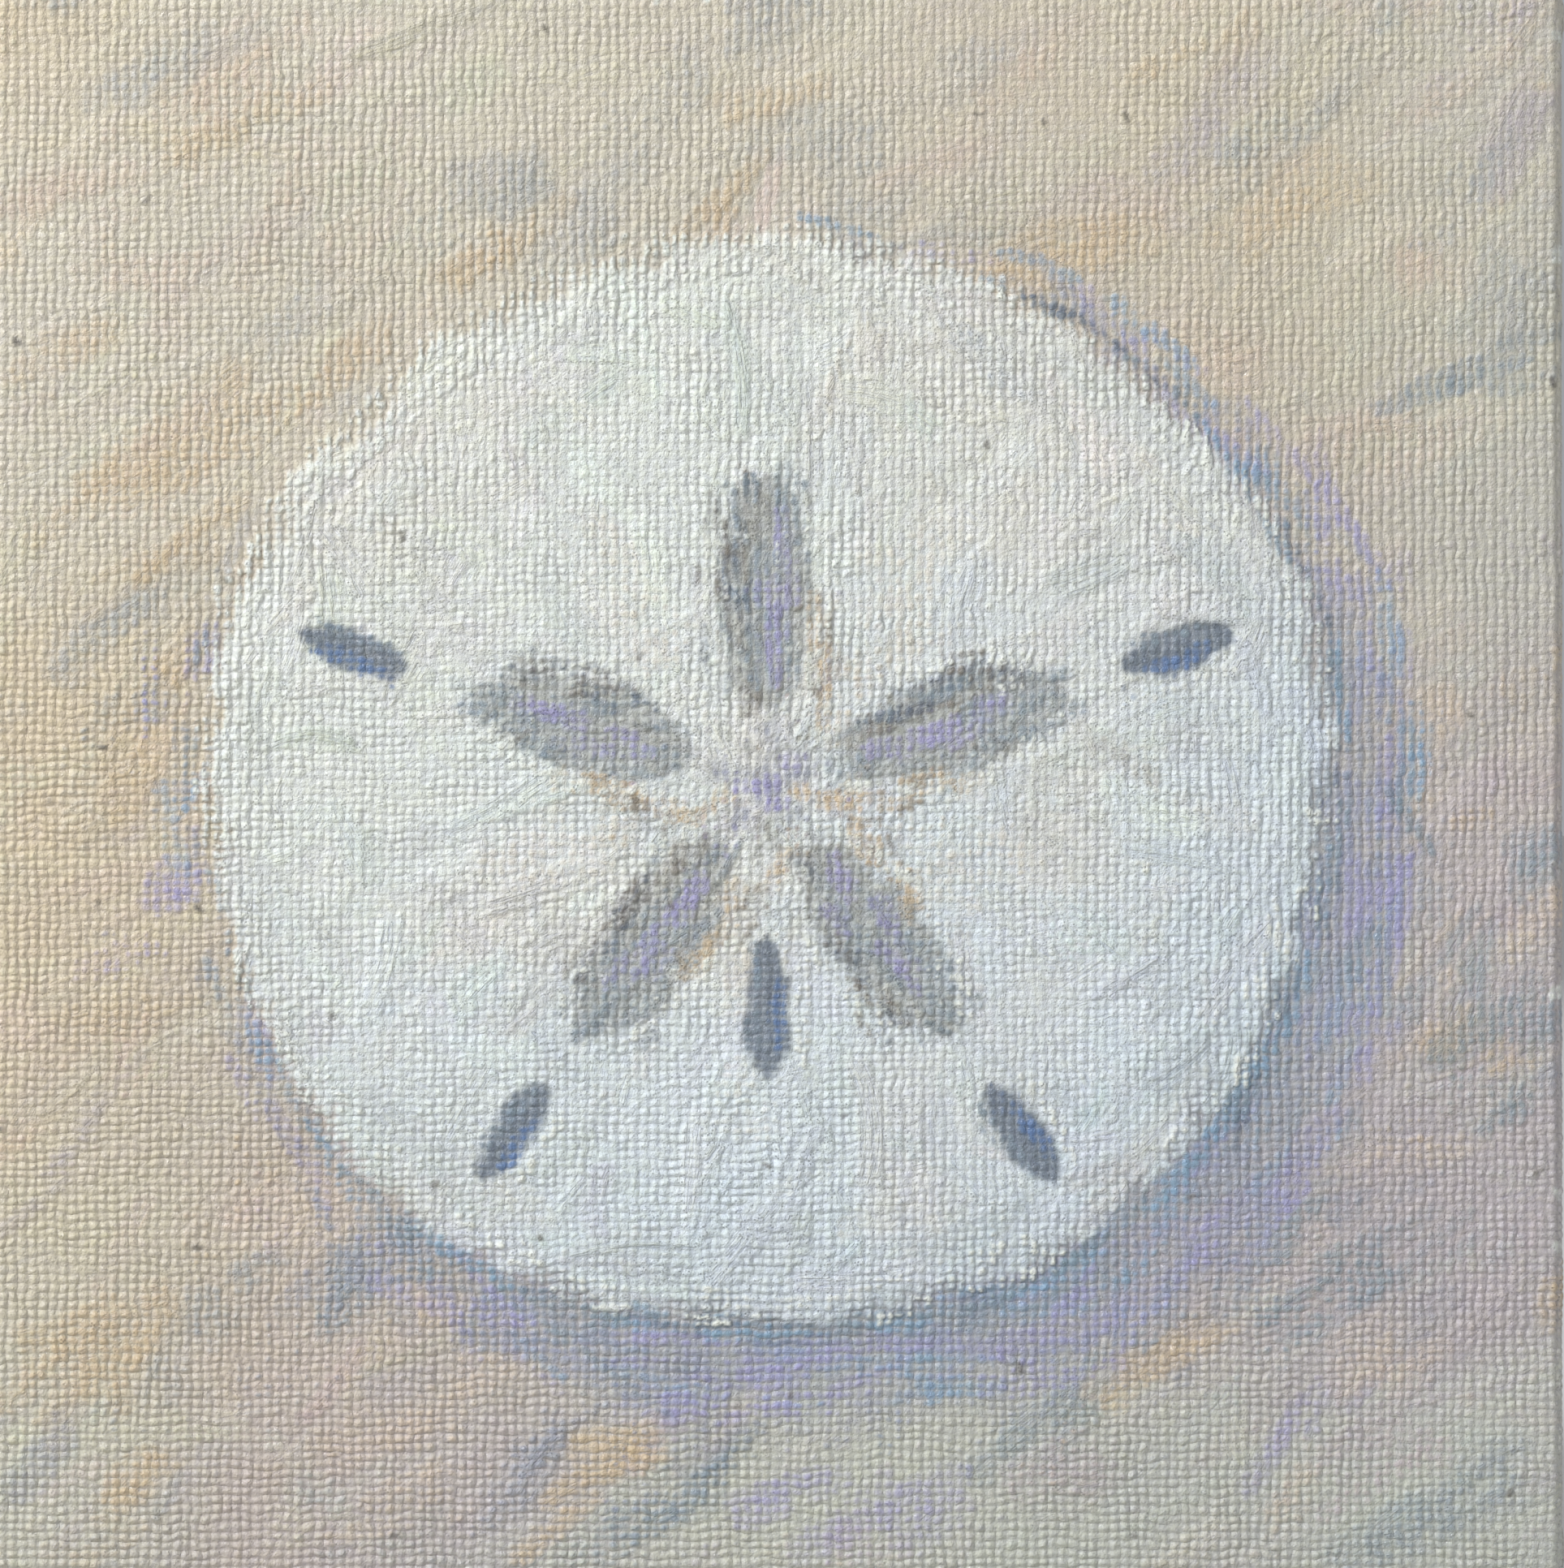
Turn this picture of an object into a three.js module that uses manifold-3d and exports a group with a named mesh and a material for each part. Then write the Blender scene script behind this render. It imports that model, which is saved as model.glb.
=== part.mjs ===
// A small painting on stretched canvas: four mitred softwood bars, one primed cotton
// canvas wrapped over them and turned onto the back, and the staples that hold it.
//
// Millimetres, +Z up. It stands on its bottom edge, the painted face looks along -Y,
// and the origin is the middle of the bottom of its box.

import * as THREE from 'three';
import { mergeVertices } from 'three/addons/utils/BufferGeometryUtils.js';
import Module from 'manifold-3d';

const wasm = await Module();
wasm.setup();

// ---------------------------------------------------------------- driving dimensions

const SIDE = 101.6;          // width and height over the canvas: 4 in
const DEPTH = 18;            // front of the canvas to the back of its turned margin
const CLOTH = 0.5;           // thickness of the primed canvas
const MARGIN = 12;           // width of the canvas turned onto the back
const TURN = 0.9;            // outer radius where the canvas turns over the front edge
const BACK_TURN = 0.7;       // outer radius where it turns onto the back
const CORNER = 0.9;          // radius of the four outer corners, seen from the front
const SHARP = 0.15;          // radius of a corner where the canvas is only creased
const GAP = 0.1;             // clearance between neighbouring pieces
const ARC_STEPS = 3;         // facets in a quarter turn

const BAR_WIDTH = 20;        // face width of a stretcher bar
const LIP_WIDTH = 3;         // raised lip along a bar's outer front edge
const LIP_RADIUS = 0.5;      // rounding of that lip
const FRONT_SLOPE = 2;       // how far a bar's front falls away behind the lip

const FOLD_LIFT = 0.8;       // extra layers of the folded corner, on the back
const EAR_LIFT = 0.5;        // extra layer of the folded corner, on the side
const EAR_LENGTH = 15;       // how far the ear reaches along the back edge
const SINK = 0.2;            // how deep a fold is rooted in the layer under it

const CROWN = 10;            // staple: length of the crown
const LEG = 6;               // staple: length of a leg
const WIRE_WIDTH = 1.1;      // staple: width of the flat wire
const WIRE_THICK = 0.5;      // staple: thickness of the flat wire
const BEND = 0.6;            // staple: outer radius of its bends
const SEAT = 0.02;           // clearance under a staple's crown
const LEG_CLEARANCE = 0.12;  // clearance round a leg in the canvas and the wood
const STAPLE_PITCH = 25;     // spacing of the staples along a side
const STAPLES_A_SIDE = 3;
const FOLD_STAPLE_X = 5.25;  // from the side to the middle of a folded corner's staple
const FOLD_STAPLE_INSET = 3; // from the fold's slanting edge to that staple, along Z
const MITRE_STAPLE_INSET = 15.5;   // from the bars' outer faces to a mitre staple's middle

// Worked out from those
const HALF = SIDE / 2;
const BOX_DEPTH = DEPTH + FOLD_LIFT + SEAT + WIRE_THICK;
const FRONT = -BOX_DEPTH / 2;
const BACK = FRONT + DEPTH;
const BAR_FRONT = FRONT + CLOTH + GAP;
const BAR_BACK = BACK - CLOTH - GAP;
const BAR_HALF = HALF - CLOTH - GAP;

// ------------------------------------------------------------------------- materials

const pine = () => new THREE.MeshStandardMaterial({ color: 0xd8bd8c, roughness: 0.75, metalness: 0 });
const primedCotton = () => new THREE.MeshStandardMaterial({ color: 0xd9d2c2, roughness: 0.85, metalness: 0 });
const zincWire = () => new THREE.MeshStandardMaterial({ color: 0xb9bcc0, roughness: 0.35, metalness: 1 });

// --------------------------------------------------------------------------- solids

// A closed geometry as a solid that can be joined and cut.
function toSolid(geometry) {
  const bare = geometry.clone();
  for (const name of Object.keys(bare.attributes)) {
    if (name !== 'position') bare.deleteAttribute(name);
  }
  const merged = mergeVertices(bare, 1e-5);
  return new wasm.Manifold(new wasm.Mesh({
    numProp: 3,
    vertProperties: new Float32Array(merged.attributes.position.array),
    triVerts: new Uint32Array(merged.index.array),
  }));
}

function toGeometry(solid) {
  const mesh = solid.getMesh();
  const geometry = new THREE.BufferGeometry();
  geometry.setAttribute('position', new THREE.BufferAttribute(mesh.vertProperties, 3));
  geometry.setIndex(new THREE.BufferAttribute(mesh.triVerts, 1));
  geometry.computeVertexNormals();
  return geometry;
}

// A closed skin over a row of rings with the same number of points each, capped at both
// ends. The first ring's cap faces -Y when its points run anticlockwise seen from there.
function skin(rings) {
  const count = rings[0].length;
  const positions = rings.flat().flatMap((p) => [p.x, p.y, p.z]);
  const indices = [];
  for (let r = 0; r + 1 < rings.length; r += 1) {
    for (let i = 0; i < count; i += 1) {
      const a = r * count + i;
      const b = r * count + (i + 1) % count;
      indices.push(a, a + count, b, b, a + count, b + count);
    }
  }
  const last = (rings.length - 1) * count;
  for (let i = 1; i + 1 < count; i += 1) {
    indices.push(0, i, i + 1);
    indices.push(last, last + i + 1, last + i);
  }
  const geometry = new THREE.BufferGeometry();
  geometry.setAttribute('position', new THREE.Float32BufferAttribute(positions, 3));
  geometry.setIndex(indices);
  return geometry;
}

// A flat plate with the given corners, standing between two depths along the third axis.
function plate(corners, low, high, toWorld) {
  const shape = new THREE.Shape(corners.map(([u, v]) => new THREE.Vector2(u, v)));
  const geometry = new THREE.ExtrudeGeometry(shape, { depth: high - low, bevelEnabled: false });
  geometry.translate(0, 0, low);
  return geometry.applyMatrix4(toWorld);
}

// --------------------------------------------------------------------------- canvas

// A square ring with rounded corners, `half` from its middle to a side, at depth y.
function squareRing(half, radius, y) {
  const points = [];
  for (let quarter = 0; quarter < 4; quarter += 1) {
    const [sx, sz] = [[1, -1], [1, 1], [-1, 1], [-1, -1]][quarter];
    for (let i = 0; i <= ARC_STEPS; i += 1) {
      const angle = (quarter - 1 + i / ARC_STEPS) * (Math.PI / 2);
      points.push(new THREE.Vector3(
        sx * (half - radius) + radius * Math.cos(angle),
        y,
        HALF + sz * (half - radius) + radius * Math.sin(angle),
      ));
    }
  }
  return points;
}

// Rings over a quarter turn of radius r, which starts at the angle `start` from the front
// and whose centre lies r inside the canvas's sides at depth y.
function turnRings(y, r, start) {
  const rings = [];
  for (let i = 0; i <= ARC_STEPS; i += 1) {
    const angle = start + (i / ARC_STEPS) * (Math.PI / 2);
    const inset = r * (1 - Math.sin(angle));
    const corner = Math.max(SHARP, CORNER - inset);
    rings.push(squareRing(HALF - inset, corner, y - r * Math.cos(angle)));
  }
  return rings;
}

// The wrapped sheet: out over the front, down the sides, onto the back, and the same way
// back again along its inner face.
function wrappedSheet() {
  const inner = HALF - CLOTH;
  const innerCorner = CORNER - CLOTH;
  return skin([
    ...turnRings(FRONT + TURN, TURN, 0),
    ...turnRings(BACK - BACK_TURN, BACK_TURN, Math.PI / 2),
    squareRing(HALF - MARGIN, SHARP, BACK),
    squareRing(HALF - MARGIN, SHARP, BACK - CLOTH),
    squareRing(inner, innerCorner, BACK - CLOTH),
    squareRing(inner, innerCorner, FRONT + TURN),
    squareRing(inner - TURN + CLOTH, SHARP, FRONT + CLOTH),
  ]);
}

// The spare cloth of one corner: an ear laid along the side, and its end turned over
// onto the back, with a slanting edge from the outer corner to the corner of the margin.
function cornerFold(sx, sz) {
  const onBack = new THREE.Matrix4().makeBasis(
    new THREE.Vector3(1, 0, 0),
    new THREE.Vector3(0, 0, 1),
    new THREE.Vector3(0, -1, 0),
  );
  const onSide = new THREE.Matrix4().makeBasis(
    new THREE.Vector3(0, 1, 0),
    new THREE.Vector3(0, 0, 1),
    new THREE.Vector3(1, 0, 0),
  );
  const edge = HALF - BACK_TURN;
  const outerZ = HALF + sz * edge;
  const marginZ = HALF + sz * (HALF - MARGIN);
  const earZ = HALF + sz * (HALF - EAR_LENGTH);
  const turned = plate(
    [[sx * edge, outerZ], [sx * edge, marginZ], [sx * (HALF - MARGIN), marginZ]],
    -BACK - FOLD_LIFT,
    -BACK + SINK,
    onBack,
  );
  const ear = plate(
    [[FRONT + TURN, outerZ], [BACK - BACK_TURN, outerZ], [BACK - BACK_TURN, earZ]],
    sx > 0 ? HALF - SINK : -HALF - EAR_LIFT,
    sx > 0 ? HALF + EAR_LIFT : -HALF + SINK,
    onSide,
  );
  return toSolid(turned).add(toSolid(ear));
}

// -------------------------------------------------------------------------- staples

// A staple of flat wire: its crown lies along X with its top at z = 0, legs down -Z.
function stapleGeometry() {
  const w = CROWN / 2;
  const foot = -LEG - WIRE_THICK;
  const outline = new THREE.Shape();
  outline.moveTo(-w, foot);
  outline.lineTo(-w, -BEND);
  outline.absarc(-w + BEND, -BEND, BEND, Math.PI, Math.PI / 2, true);
  outline.lineTo(w - BEND, 0);
  outline.absarc(w - BEND, -BEND, BEND, Math.PI / 2, 0, true);
  outline.lineTo(w, foot);
  outline.lineTo(w - WIRE_THICK, foot);
  outline.lineTo(w - WIRE_THICK, -WIRE_THICK);
  outline.lineTo(-w + WIRE_THICK, -WIRE_THICK);
  outline.lineTo(-w + WIRE_THICK, foot);
  const geometry = new THREE.ExtrudeGeometry(outline, {
    depth: WIRE_WIDTH,
    bevelEnabled: false,
    curveSegments: ARC_STEPS,
  });
  geometry.translate(0, 0, -WIRE_WIDTH / 2);
  return geometry.rotateX(Math.PI / 2);
}

// The room that a staple's two legs take, with clearance, below its crown.
function legRoom(x) {
  const width = WIRE_THICK + 2 * LEG_CLEARANCE;
  const geometry = new THREE.BoxGeometry(width, WIRE_WIDTH + 2 * LEG_CLEARANCE, LEG + WIRE_THICK);
  return geometry.translate(x, 0, -(LEG + WIRE_THICK) / 2 - LEG_CLEARANCE);
}

// A staple pressed in from the back: its crown's top stands `proud` of the margin's back,
// its middle is at (x, z), and its crown is turned by `angle` from the horizontal.
function staple(name, x, z, proud, angle) {
  const mesh = new THREE.Mesh(stapleGeometry(), zincWire());
  mesh.name = name;
  mesh.position.set(x, BACK + proud, z);
  mesh.rotation.set(-Math.PI / 2, angle, 0, 'YXZ');
  mesh.updateMatrixWorld();
  return mesh;
}

function marginStaples() {
  const sides = [['bottom', 0], ['right', 1], ['top', 2], ['left', 3]];
  const inset = HALF - MARGIN / 2;
  const staples = [];
  for (const [side, quarter] of sides) {
    const angle = quarter * (Math.PI / 2);
    for (let i = 0; i < STAPLES_A_SIDE; i += 1) {
      const along = (i - (STAPLES_A_SIDE - 1) / 2) * STAPLE_PITCH;
      const x = along * Math.cos(angle) + inset * Math.sin(angle);
      const z = HALF + along * Math.sin(angle) - inset * Math.cos(angle);
      staples.push(staple(`staple_${side}_${i + 1}`, x, z, SEAT + WIRE_THICK, -angle));
    }
  }
  return staples;
}

// Two staples in each corner, both at 45 degrees: one along the folded cloth's slanting
// edge, and one across the mitre of the bare wood.
function cornerStaples() {
  const foldX = HALF - FOLD_STAPLE_X;
  const foldZ = foldX - FOLD_STAPLE_INSET;
  const foldProud = FOLD_LIFT + SEAT + WIRE_THICK;
  const mitre = BAR_HALF - MITRE_STAPLE_INSET;
  const mitreProud = SEAT + WIRE_THICK - CLOTH - GAP;
  const staples = [];
  for (const [vertical, sz] of [['bottom', -1], ['top', 1]]) {
    for (const [across, sx] of [['left', -1], ['right', 1]]) {
      const corner = `${vertical}_${across}`;
      const slant = sx * sz * (Math.PI / 4);
      staples.push(staple(`fold_staple_${corner}`, sx * foldX, HALF + sz * foldZ, foldProud, -slant));
      staples.push(staple(`mitre_staple_${corner}`, sx * mitre, HALF + sz * mitre, mitreProud, slant));
    }
  }
  return staples;
}

// Cuts the legs' room of every staple out of a mesh's geometry.
function cutForLegs(mesh, staples) {
  mesh.updateMatrixWorld();
  const toLocal = mesh.matrixWorld.clone().invert();
  let solid = toSolid(mesh.geometry);
  for (const one of staples) {
    for (const x of [-(CROWN - WIRE_THICK) / 2, (CROWN - WIRE_THICK) / 2]) {
      const room = legRoom(x).applyMatrix4(toLocal.clone().multiply(one.matrixWorld));
      solid = solid.subtract(toSolid(room));
    }
  }
  mesh.geometry = toGeometry(solid);
}

// ----------------------------------------------------------------------------- bars

// A bar's section, as [distance in from its outer face, depth back from its front].
function barSection() {
  const depth = BAR_BACK - BAR_FRONT;
  const points = [[0, depth]];
  for (let i = 0; i <= ARC_STEPS; i += 1) {
    const angle = (i / ARC_STEPS) * (Math.PI / 2);
    points.push([LIP_RADIUS * (1 - Math.cos(angle)), LIP_RADIUS * (1 - Math.sin(angle))]);
  }
  points.push([LIP_WIDTH, 0], [BAR_WIDTH, FRONT_SLOPE], [BAR_WIDTH, depth]);
  return points;
}

// The bottom bar: its section carried along X, each end cut at 45 degrees.
function barGeometry() {
  const end = (side) => barSection().map(([inward, back]) => new THREE.Vector3(
    side * (BAR_HALF - GAP / 2 - inward),
    BAR_FRONT + back,
    -BAR_HALF + inward,
  ));
  return skin([end(-1), end(1)]);
}

// The four bars are the same piece turned about the middle of the frame.
function bar(name, quarter) {
  const mesh = new THREE.Mesh(barGeometry(), pine());
  mesh.name = name;
  mesh.position.z = HALF;
  mesh.rotation.y = -quarter * (Math.PI / 2);
  return mesh;
}

// ---------------------------------------------------------------------------- build

const staples = [...marginStaples(), ...cornerStaples()];
const bars = ['bar_bottom', 'bar_right', 'bar_top', 'bar_left'].map(bar);

let sheet = toSolid(wrappedSheet());
for (const sx of [-1, 1]) {
  for (const sz of [-1, 1]) {
    sheet = sheet.add(cornerFold(sx, sz));
  }
}
const canvas = new THREE.Mesh(toGeometry(sheet), primedCotton());
canvas.name = 'canvas';

for (const mesh of [canvas, ...bars]) {
  cutForLegs(mesh, staples);
}

const painting = new THREE.Group();
painting.add(canvas, ...bars, ...staples);

export default painting;
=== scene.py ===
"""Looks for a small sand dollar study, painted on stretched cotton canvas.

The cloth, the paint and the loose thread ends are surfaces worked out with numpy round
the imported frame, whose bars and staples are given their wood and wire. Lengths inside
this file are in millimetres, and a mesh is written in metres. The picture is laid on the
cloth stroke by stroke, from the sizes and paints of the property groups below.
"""

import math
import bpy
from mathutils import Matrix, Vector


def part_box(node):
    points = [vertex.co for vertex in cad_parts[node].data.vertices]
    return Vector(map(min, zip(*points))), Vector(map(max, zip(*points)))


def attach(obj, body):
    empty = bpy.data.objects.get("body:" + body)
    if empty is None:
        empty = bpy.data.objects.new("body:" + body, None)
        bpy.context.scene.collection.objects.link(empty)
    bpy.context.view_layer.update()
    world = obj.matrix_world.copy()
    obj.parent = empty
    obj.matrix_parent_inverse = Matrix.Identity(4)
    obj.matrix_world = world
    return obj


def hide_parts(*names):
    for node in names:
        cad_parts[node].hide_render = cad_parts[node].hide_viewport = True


bl_info = {
    "name": "Sand dollar study on canvas",
    "version": (1, 0, 0),
    "blender": (4, 5, 0),
    "location": "3D View > Sidebar > Canvas",
    "description": "Weaves, paints and staples a small stretched canvas",
    "category": "Object",
}

import bpy
import numpy as np
from mathutils import Vector

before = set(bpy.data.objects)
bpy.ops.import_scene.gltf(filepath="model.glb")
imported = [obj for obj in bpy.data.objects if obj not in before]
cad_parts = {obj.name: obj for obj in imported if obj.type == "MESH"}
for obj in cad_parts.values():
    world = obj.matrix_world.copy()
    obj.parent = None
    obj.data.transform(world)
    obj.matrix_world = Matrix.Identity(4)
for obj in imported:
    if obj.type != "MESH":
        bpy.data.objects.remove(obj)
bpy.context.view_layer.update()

MM = 0.001
BODY = "root"
CLOTH_LOW, CLOTH_HIGH = (np.array(corner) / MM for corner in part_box("canvas"))

# Sizes of the stretched canvas, as the frame has them
SIDE = CLOTH_HIGH[2] - CLOTH_LOW[2]
HALF = SIDE / 2
FRONT = CLOTH_LOW[1]
FOLD_LIFT = 0.8      # extra layers of a folded corner, on the back
EAR_LIFT = 0.5       # extra layer of a folded corner, on the side
EAR_LENGTH = 15.0    # how far an ear reaches along the back edge
BACK = CLOTH_HIGH[1] - FOLD_LIFT
CLOTH = 0.5          # thickness of the primed cloth
MARGIN = 12.0        # width of the cloth turned onto the back
TURN = 0.9           # outer radius where it turns over the front edge
BACK_TURN = 0.7      # outer radius where it turns onto the back
FLAT = HALF - TURN               # half of the front's flat part
ARC = TURN * math.pi / 2         # length of cloth in one turn over the edge
COAT = 0.18                      # thickness of the paint where its body is 1
TUCK = 0.06          # how far the cloth lies under the paint on its face
CORNER_ZONE = 17.0   # length beside each corner where the cloth's grid is closer
SIDE_PAINT = 22.0    # length over which the ground's paint thins out along a side


# ------------------------------------------------------------------ what a user may change


def paint(name, description, red, green, blue):
    """A paint of the palette, as a colour swatch."""
    return bpy.props.FloatVectorProperty(
        name=name, description=description, subtype="COLOR_GAMMA", size=3,
        default=(red / 255, green / 255, blue / 255), min=0.0, max=1.0,
    )


def length(name, description, default, low=0.0, high=1.0):
    """A small length in metres."""
    return bpy.props.FloatProperty(
        name=name, description=description, default=default * MM, min=low * MM,
        max=high * MM, precision=6, subtype="DISTANCE", unit="LENGTH",
    )


class ClothSettings(bpy.types.PropertyGroup):
    """Thread counts and relief of the woven cloth."""

    warp_pitch: length("Warp pitch", "Distance between upright threads", 0.651, 0.2, 3)
    weft_pitch: length("Weft pitch", "Distance between level threads", 0.565, 0.2, 3)
    relief: length("Relief", "Height of the threads over the hollows", 0.13, 0.0, 1)
    wander: length("Wander", "How far a thread strays from its line", 0.10, 0.0, 1)
    grid: length("Grid", "Spacing of the painted face's mesh", 0.15, 0.1, 2)
    seed: bpy.props.IntProperty(
        name="Seed", description="Picks the irregular threads and strokes", default=7, min=0)


class PaletteSettings(bpy.types.PropertyGroup):
    """The paints that the picture is mixed from."""

    warm_sand: paint("Warm sand", "Lit sand", 222, 203, 172)
    pale_sand: paint("Pale sand", "Lit sand", 218, 209, 190)
    pink_sand: paint("Pink sand", "Broken colour in the lit sand", 218, 198, 178)
    cool_sand: paint("Cool sand", "Grey-green sand away from the light", 201, 202, 190)
    mauve: paint("Mauve", "Pinkish grey sand away from the light", 194, 184, 184)
    grey: paint("Grey", "Neutral pulls in the lit sand", 184, 184, 180)
    lavender: paint("Lavender", "The shade that the shell casts", 166, 168, 178)
    violet: paint("Violet", "Pulls in the shade", 168, 162, 202)
    rim_blue: paint("Rim blue", "Blue pulls beside the shell", 142, 172, 196)
    slate: paint("Slate", "Dark line at the shell's shaded side", 142, 156, 166)
    deep_blue: paint("Deep blue", "Inside the slots", 104, 130, 172)
    dark_slate: paint("Dark slate", "Deepest shade", 112, 122, 136)
    cream: paint("Cream", "Lit shell", 232, 233, 224)
    cool_white: paint("Cool white", "Shell turned from the light", 220, 228, 232)
    shell_warm: paint("Warm white", "Warm glaze on the shell", 228, 220, 206)
    taupe: paint("Taupe", "Petals", 168, 168, 162)
    petal_blue: paint("Petal blue", "Cool pulls in the petals", 156, 166, 172)
    brown: paint("Brown", "Dark edges of the petals", 142, 134, 124)
    ochre: paint("Ochre", "Warm edges of the petals", 214, 190, 156)


class StageSettings(bpy.types.PropertyGroup):
    """Lights and camera."""

    key_power: bpy.props.FloatProperty(
        name="Key", description="Power of the window light", default=8.75, min=0.0, unit="POWER")
    fill_power: bpy.props.FloatProperty(
        name="Fill", description="Power of the soft front light", default=1.3, min=0.0,
        unit="POWER")
    sky: bpy.props.FloatProperty(
        name="Sky", description="Strength of the pale room", default=0.38, min=0.0)
    distance: bpy.props.FloatProperty(
        name="Distance", description="From the camera to the painted face", default=0.42,
        min=0.1, subtype="DISTANCE", unit="LENGTH")


# ----------------------------------------------------------------------------- small tools


def linear(colour):
    """A swatch's colour as light: the usual sRGB curve undone, part by part."""
    c = np.asarray(colour, float)
    return np.where(c <= 0.04045, c / 12.92, ((c + 0.055) / 1.055) ** 2.4)


def swatches(palette):
    """The palette's paints as light, by name."""
    return {name: linear(getattr(palette, name)) for name in PaletteSettings.__annotations__}


def ease(low, high, value):
    """0 below low, 1 above high, and 3t^2 - 2t^3 between."""
    t = np.clip((value - low) / (high - low), 0.0, 1.0)
    return t * t * (3 - 2 * t)


def noise(x, z, size, seed):
    """Smooth noise from -1 to 1: random values on a square lattice of that size in mm,
    blended with an eased weight along each side."""
    cells, middle = 256, 60.0
    lattice = np.random.default_rng(seed).uniform(-1, 1, (cells + 1, cells + 1))
    u, v = np.asarray(x) / size + middle, np.asarray(z) / size + middle
    i, j = np.floor(u).astype(int), np.floor(v).astype(int)
    fu, fv = ease(0, 1, u - i), ease(0, 1, v - j)
    i, j = i % cells, j % cells
    near = lattice[i, j] * (1 - fu) + lattice[i + 1, j] * fu
    far = lattice[i, j + 1] * (1 - fu) + lattice[i + 1, j + 1] * fu
    return near * (1 - fv) + far * fv


def build_mesh(name, points, quads, attributes=(), normals=None):
    """A smooth mesh object from points in mm, quads, and {name: values} per point."""
    mesh = bpy.data.meshes.new(name)
    mesh.vertices.add(len(points))
    mesh.vertices.foreach_set("co", (np.asarray(points) * MM).astype(np.float32).ravel())
    mesh.loops.add(quads.size)
    mesh.loops.foreach_set("vertex_index", quads.astype(np.int32).ravel())
    mesh.polygons.add(len(quads))
    mesh.polygons.foreach_set("loop_start", np.arange(0, quads.size, 4, dtype=np.int32))
    mesh.update(calc_edges=True)
    mesh.polygons.foreach_set("use_smooth", np.ones(len(quads), bool))
    for label, values in dict(attributes).items():
        if values.ndim == 1:
            mesh.attributes.new(label, "FLOAT", "POINT").data.foreach_set(
                "value", values.astype(np.float32))
        elif label.endswith("paint"):
            rgba = np.ones((len(values), 4), np.float32)
            rgba[:, :3] = values
            mesh.attributes.new(label, "FLOAT_COLOR", "POINT").data.foreach_set(
                "color", rgba.ravel())
        else:
            mesh.attributes.new(label, "FLOAT_VECTOR", "POINT").data.foreach_set(
                "vector", values.astype(np.float32).ravel())
    if normals is not None:
        mesh.normals_split_custom_set_from_vertices(normals.astype(np.float32))
    piece = bpy.data.objects.new(name, mesh)
    bpy.context.collection.objects.link(piece)
    return piece


def grid_quads(rows, columns):
    """Quads of a grid whose points run row by row."""
    first = (np.arange(rows - 1)[:, None] * columns + np.arange(columns - 1)).ravel()
    return np.stack([first, first + 1, first + columns + 1, first + columns], 1)


# --------------------------------------------------------------------------------- weave


class Weave:
    """The cloth's threads, as functions of the place on the flat, unrolled cloth."""

    def __init__(self, cloth):
        self.warp = cloth.warp_pitch / MM
        self.weft = cloth.weft_pitch / MM
        self.wander = cloth.wander / MM
        self.seed = cloth.seed

    def threads(self, x, z):
        """How many threads lie left of and below a place: x and z over their pitches,
        each with a slow stray of its own and a quick one that differs by thread."""
        stray = self.wander * (noise(x, z, 9.0, self.seed + 1)
                               + 1.2 * noise(x, z, 1.1, self.seed + 2)
                               + 0.7 * noise(x, z, 0.5, self.seed + 7))
        rise = self.wander * (noise(x, z, 8.0, self.seed + 3)
                              + 1.3 * noise(x, z, 1.2, self.seed + 4)
                              + 0.7 * noise(x, z, 0.5, self.seed + 8))
        return (x + stray) / self.warp, (z + rise) / self.weft

    def lean(self, x, z):
        """How much the upright threads stand over the level ones, from place to place."""
        return (0.03 + 0.10 * noise(x, z, 11.0, self.seed + 6)
                + 0.08 * np.clip((x + 2 * z) / HALF, -1, 1))

    def height(self, across, up, lean):
        """Height of the primed cloth from 0 in the hollows to about 1 on the threads.

        With A = |cos(pi a)|, U = |cos(pi u)| and P = cos(pi a) cos(pi u), which is 1 where
        the warp is on top and -1 where the weft is, the warp's ridge is
        A^0.9 (0.62 + 0.16 P + lean) and the weft's is U^0.9 (0.58 - 0.16 P - lean). Their
        soft maximum is blended with a knot A U at each crossing, and each thread and each
        crossing stands a little higher or lower than the next. Where the primer has run,
        a slow noise pulls the height towards 0.7, so that threads fuse."""
        ca, cu = np.cos(np.pi * across), np.cos(np.pi * up)
        over, warp_way, weft_way = ca * cu, np.abs(ca), np.abs(cu)
        warp = warp_way ** 0.9 * (0.62 + 0.16 * over + lean)
        weft = weft_way ** 0.9 * (0.58 - 0.16 * over - lean)
        ridges = np.log(np.exp(8 * warp) + np.exp(8 * weft)) / 8
        rows, columns = 251, 253
        a, u = np.round(across).astype(int) % rows, np.round(up).astype(int) % columns
        rng = np.random.default_rng(self.seed + 5)
        knots, ribs = rng.uniform(-1, 1, (rows, columns)), rng.uniform(-1, 1, rows)
        odd = 0.34 * knots[a, u] * warp_way * weft_way + 0.10 * ribs[a] * warp_way
        height = np.clip(0.75 * ridges + 0.42 * warp_way * weft_way - 0.08 + odd, 0, 1.35)
        run = ease(0.0, 0.9, noise(across, up, 2.3, self.seed + 12))
        return height + 0.45 * run * (0.7 - height)

    def tooth(self, x, z):
        """Height of the primed cloth at a place."""
        return self.height(*self.threads(x, z), self.lean(x, z))


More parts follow.
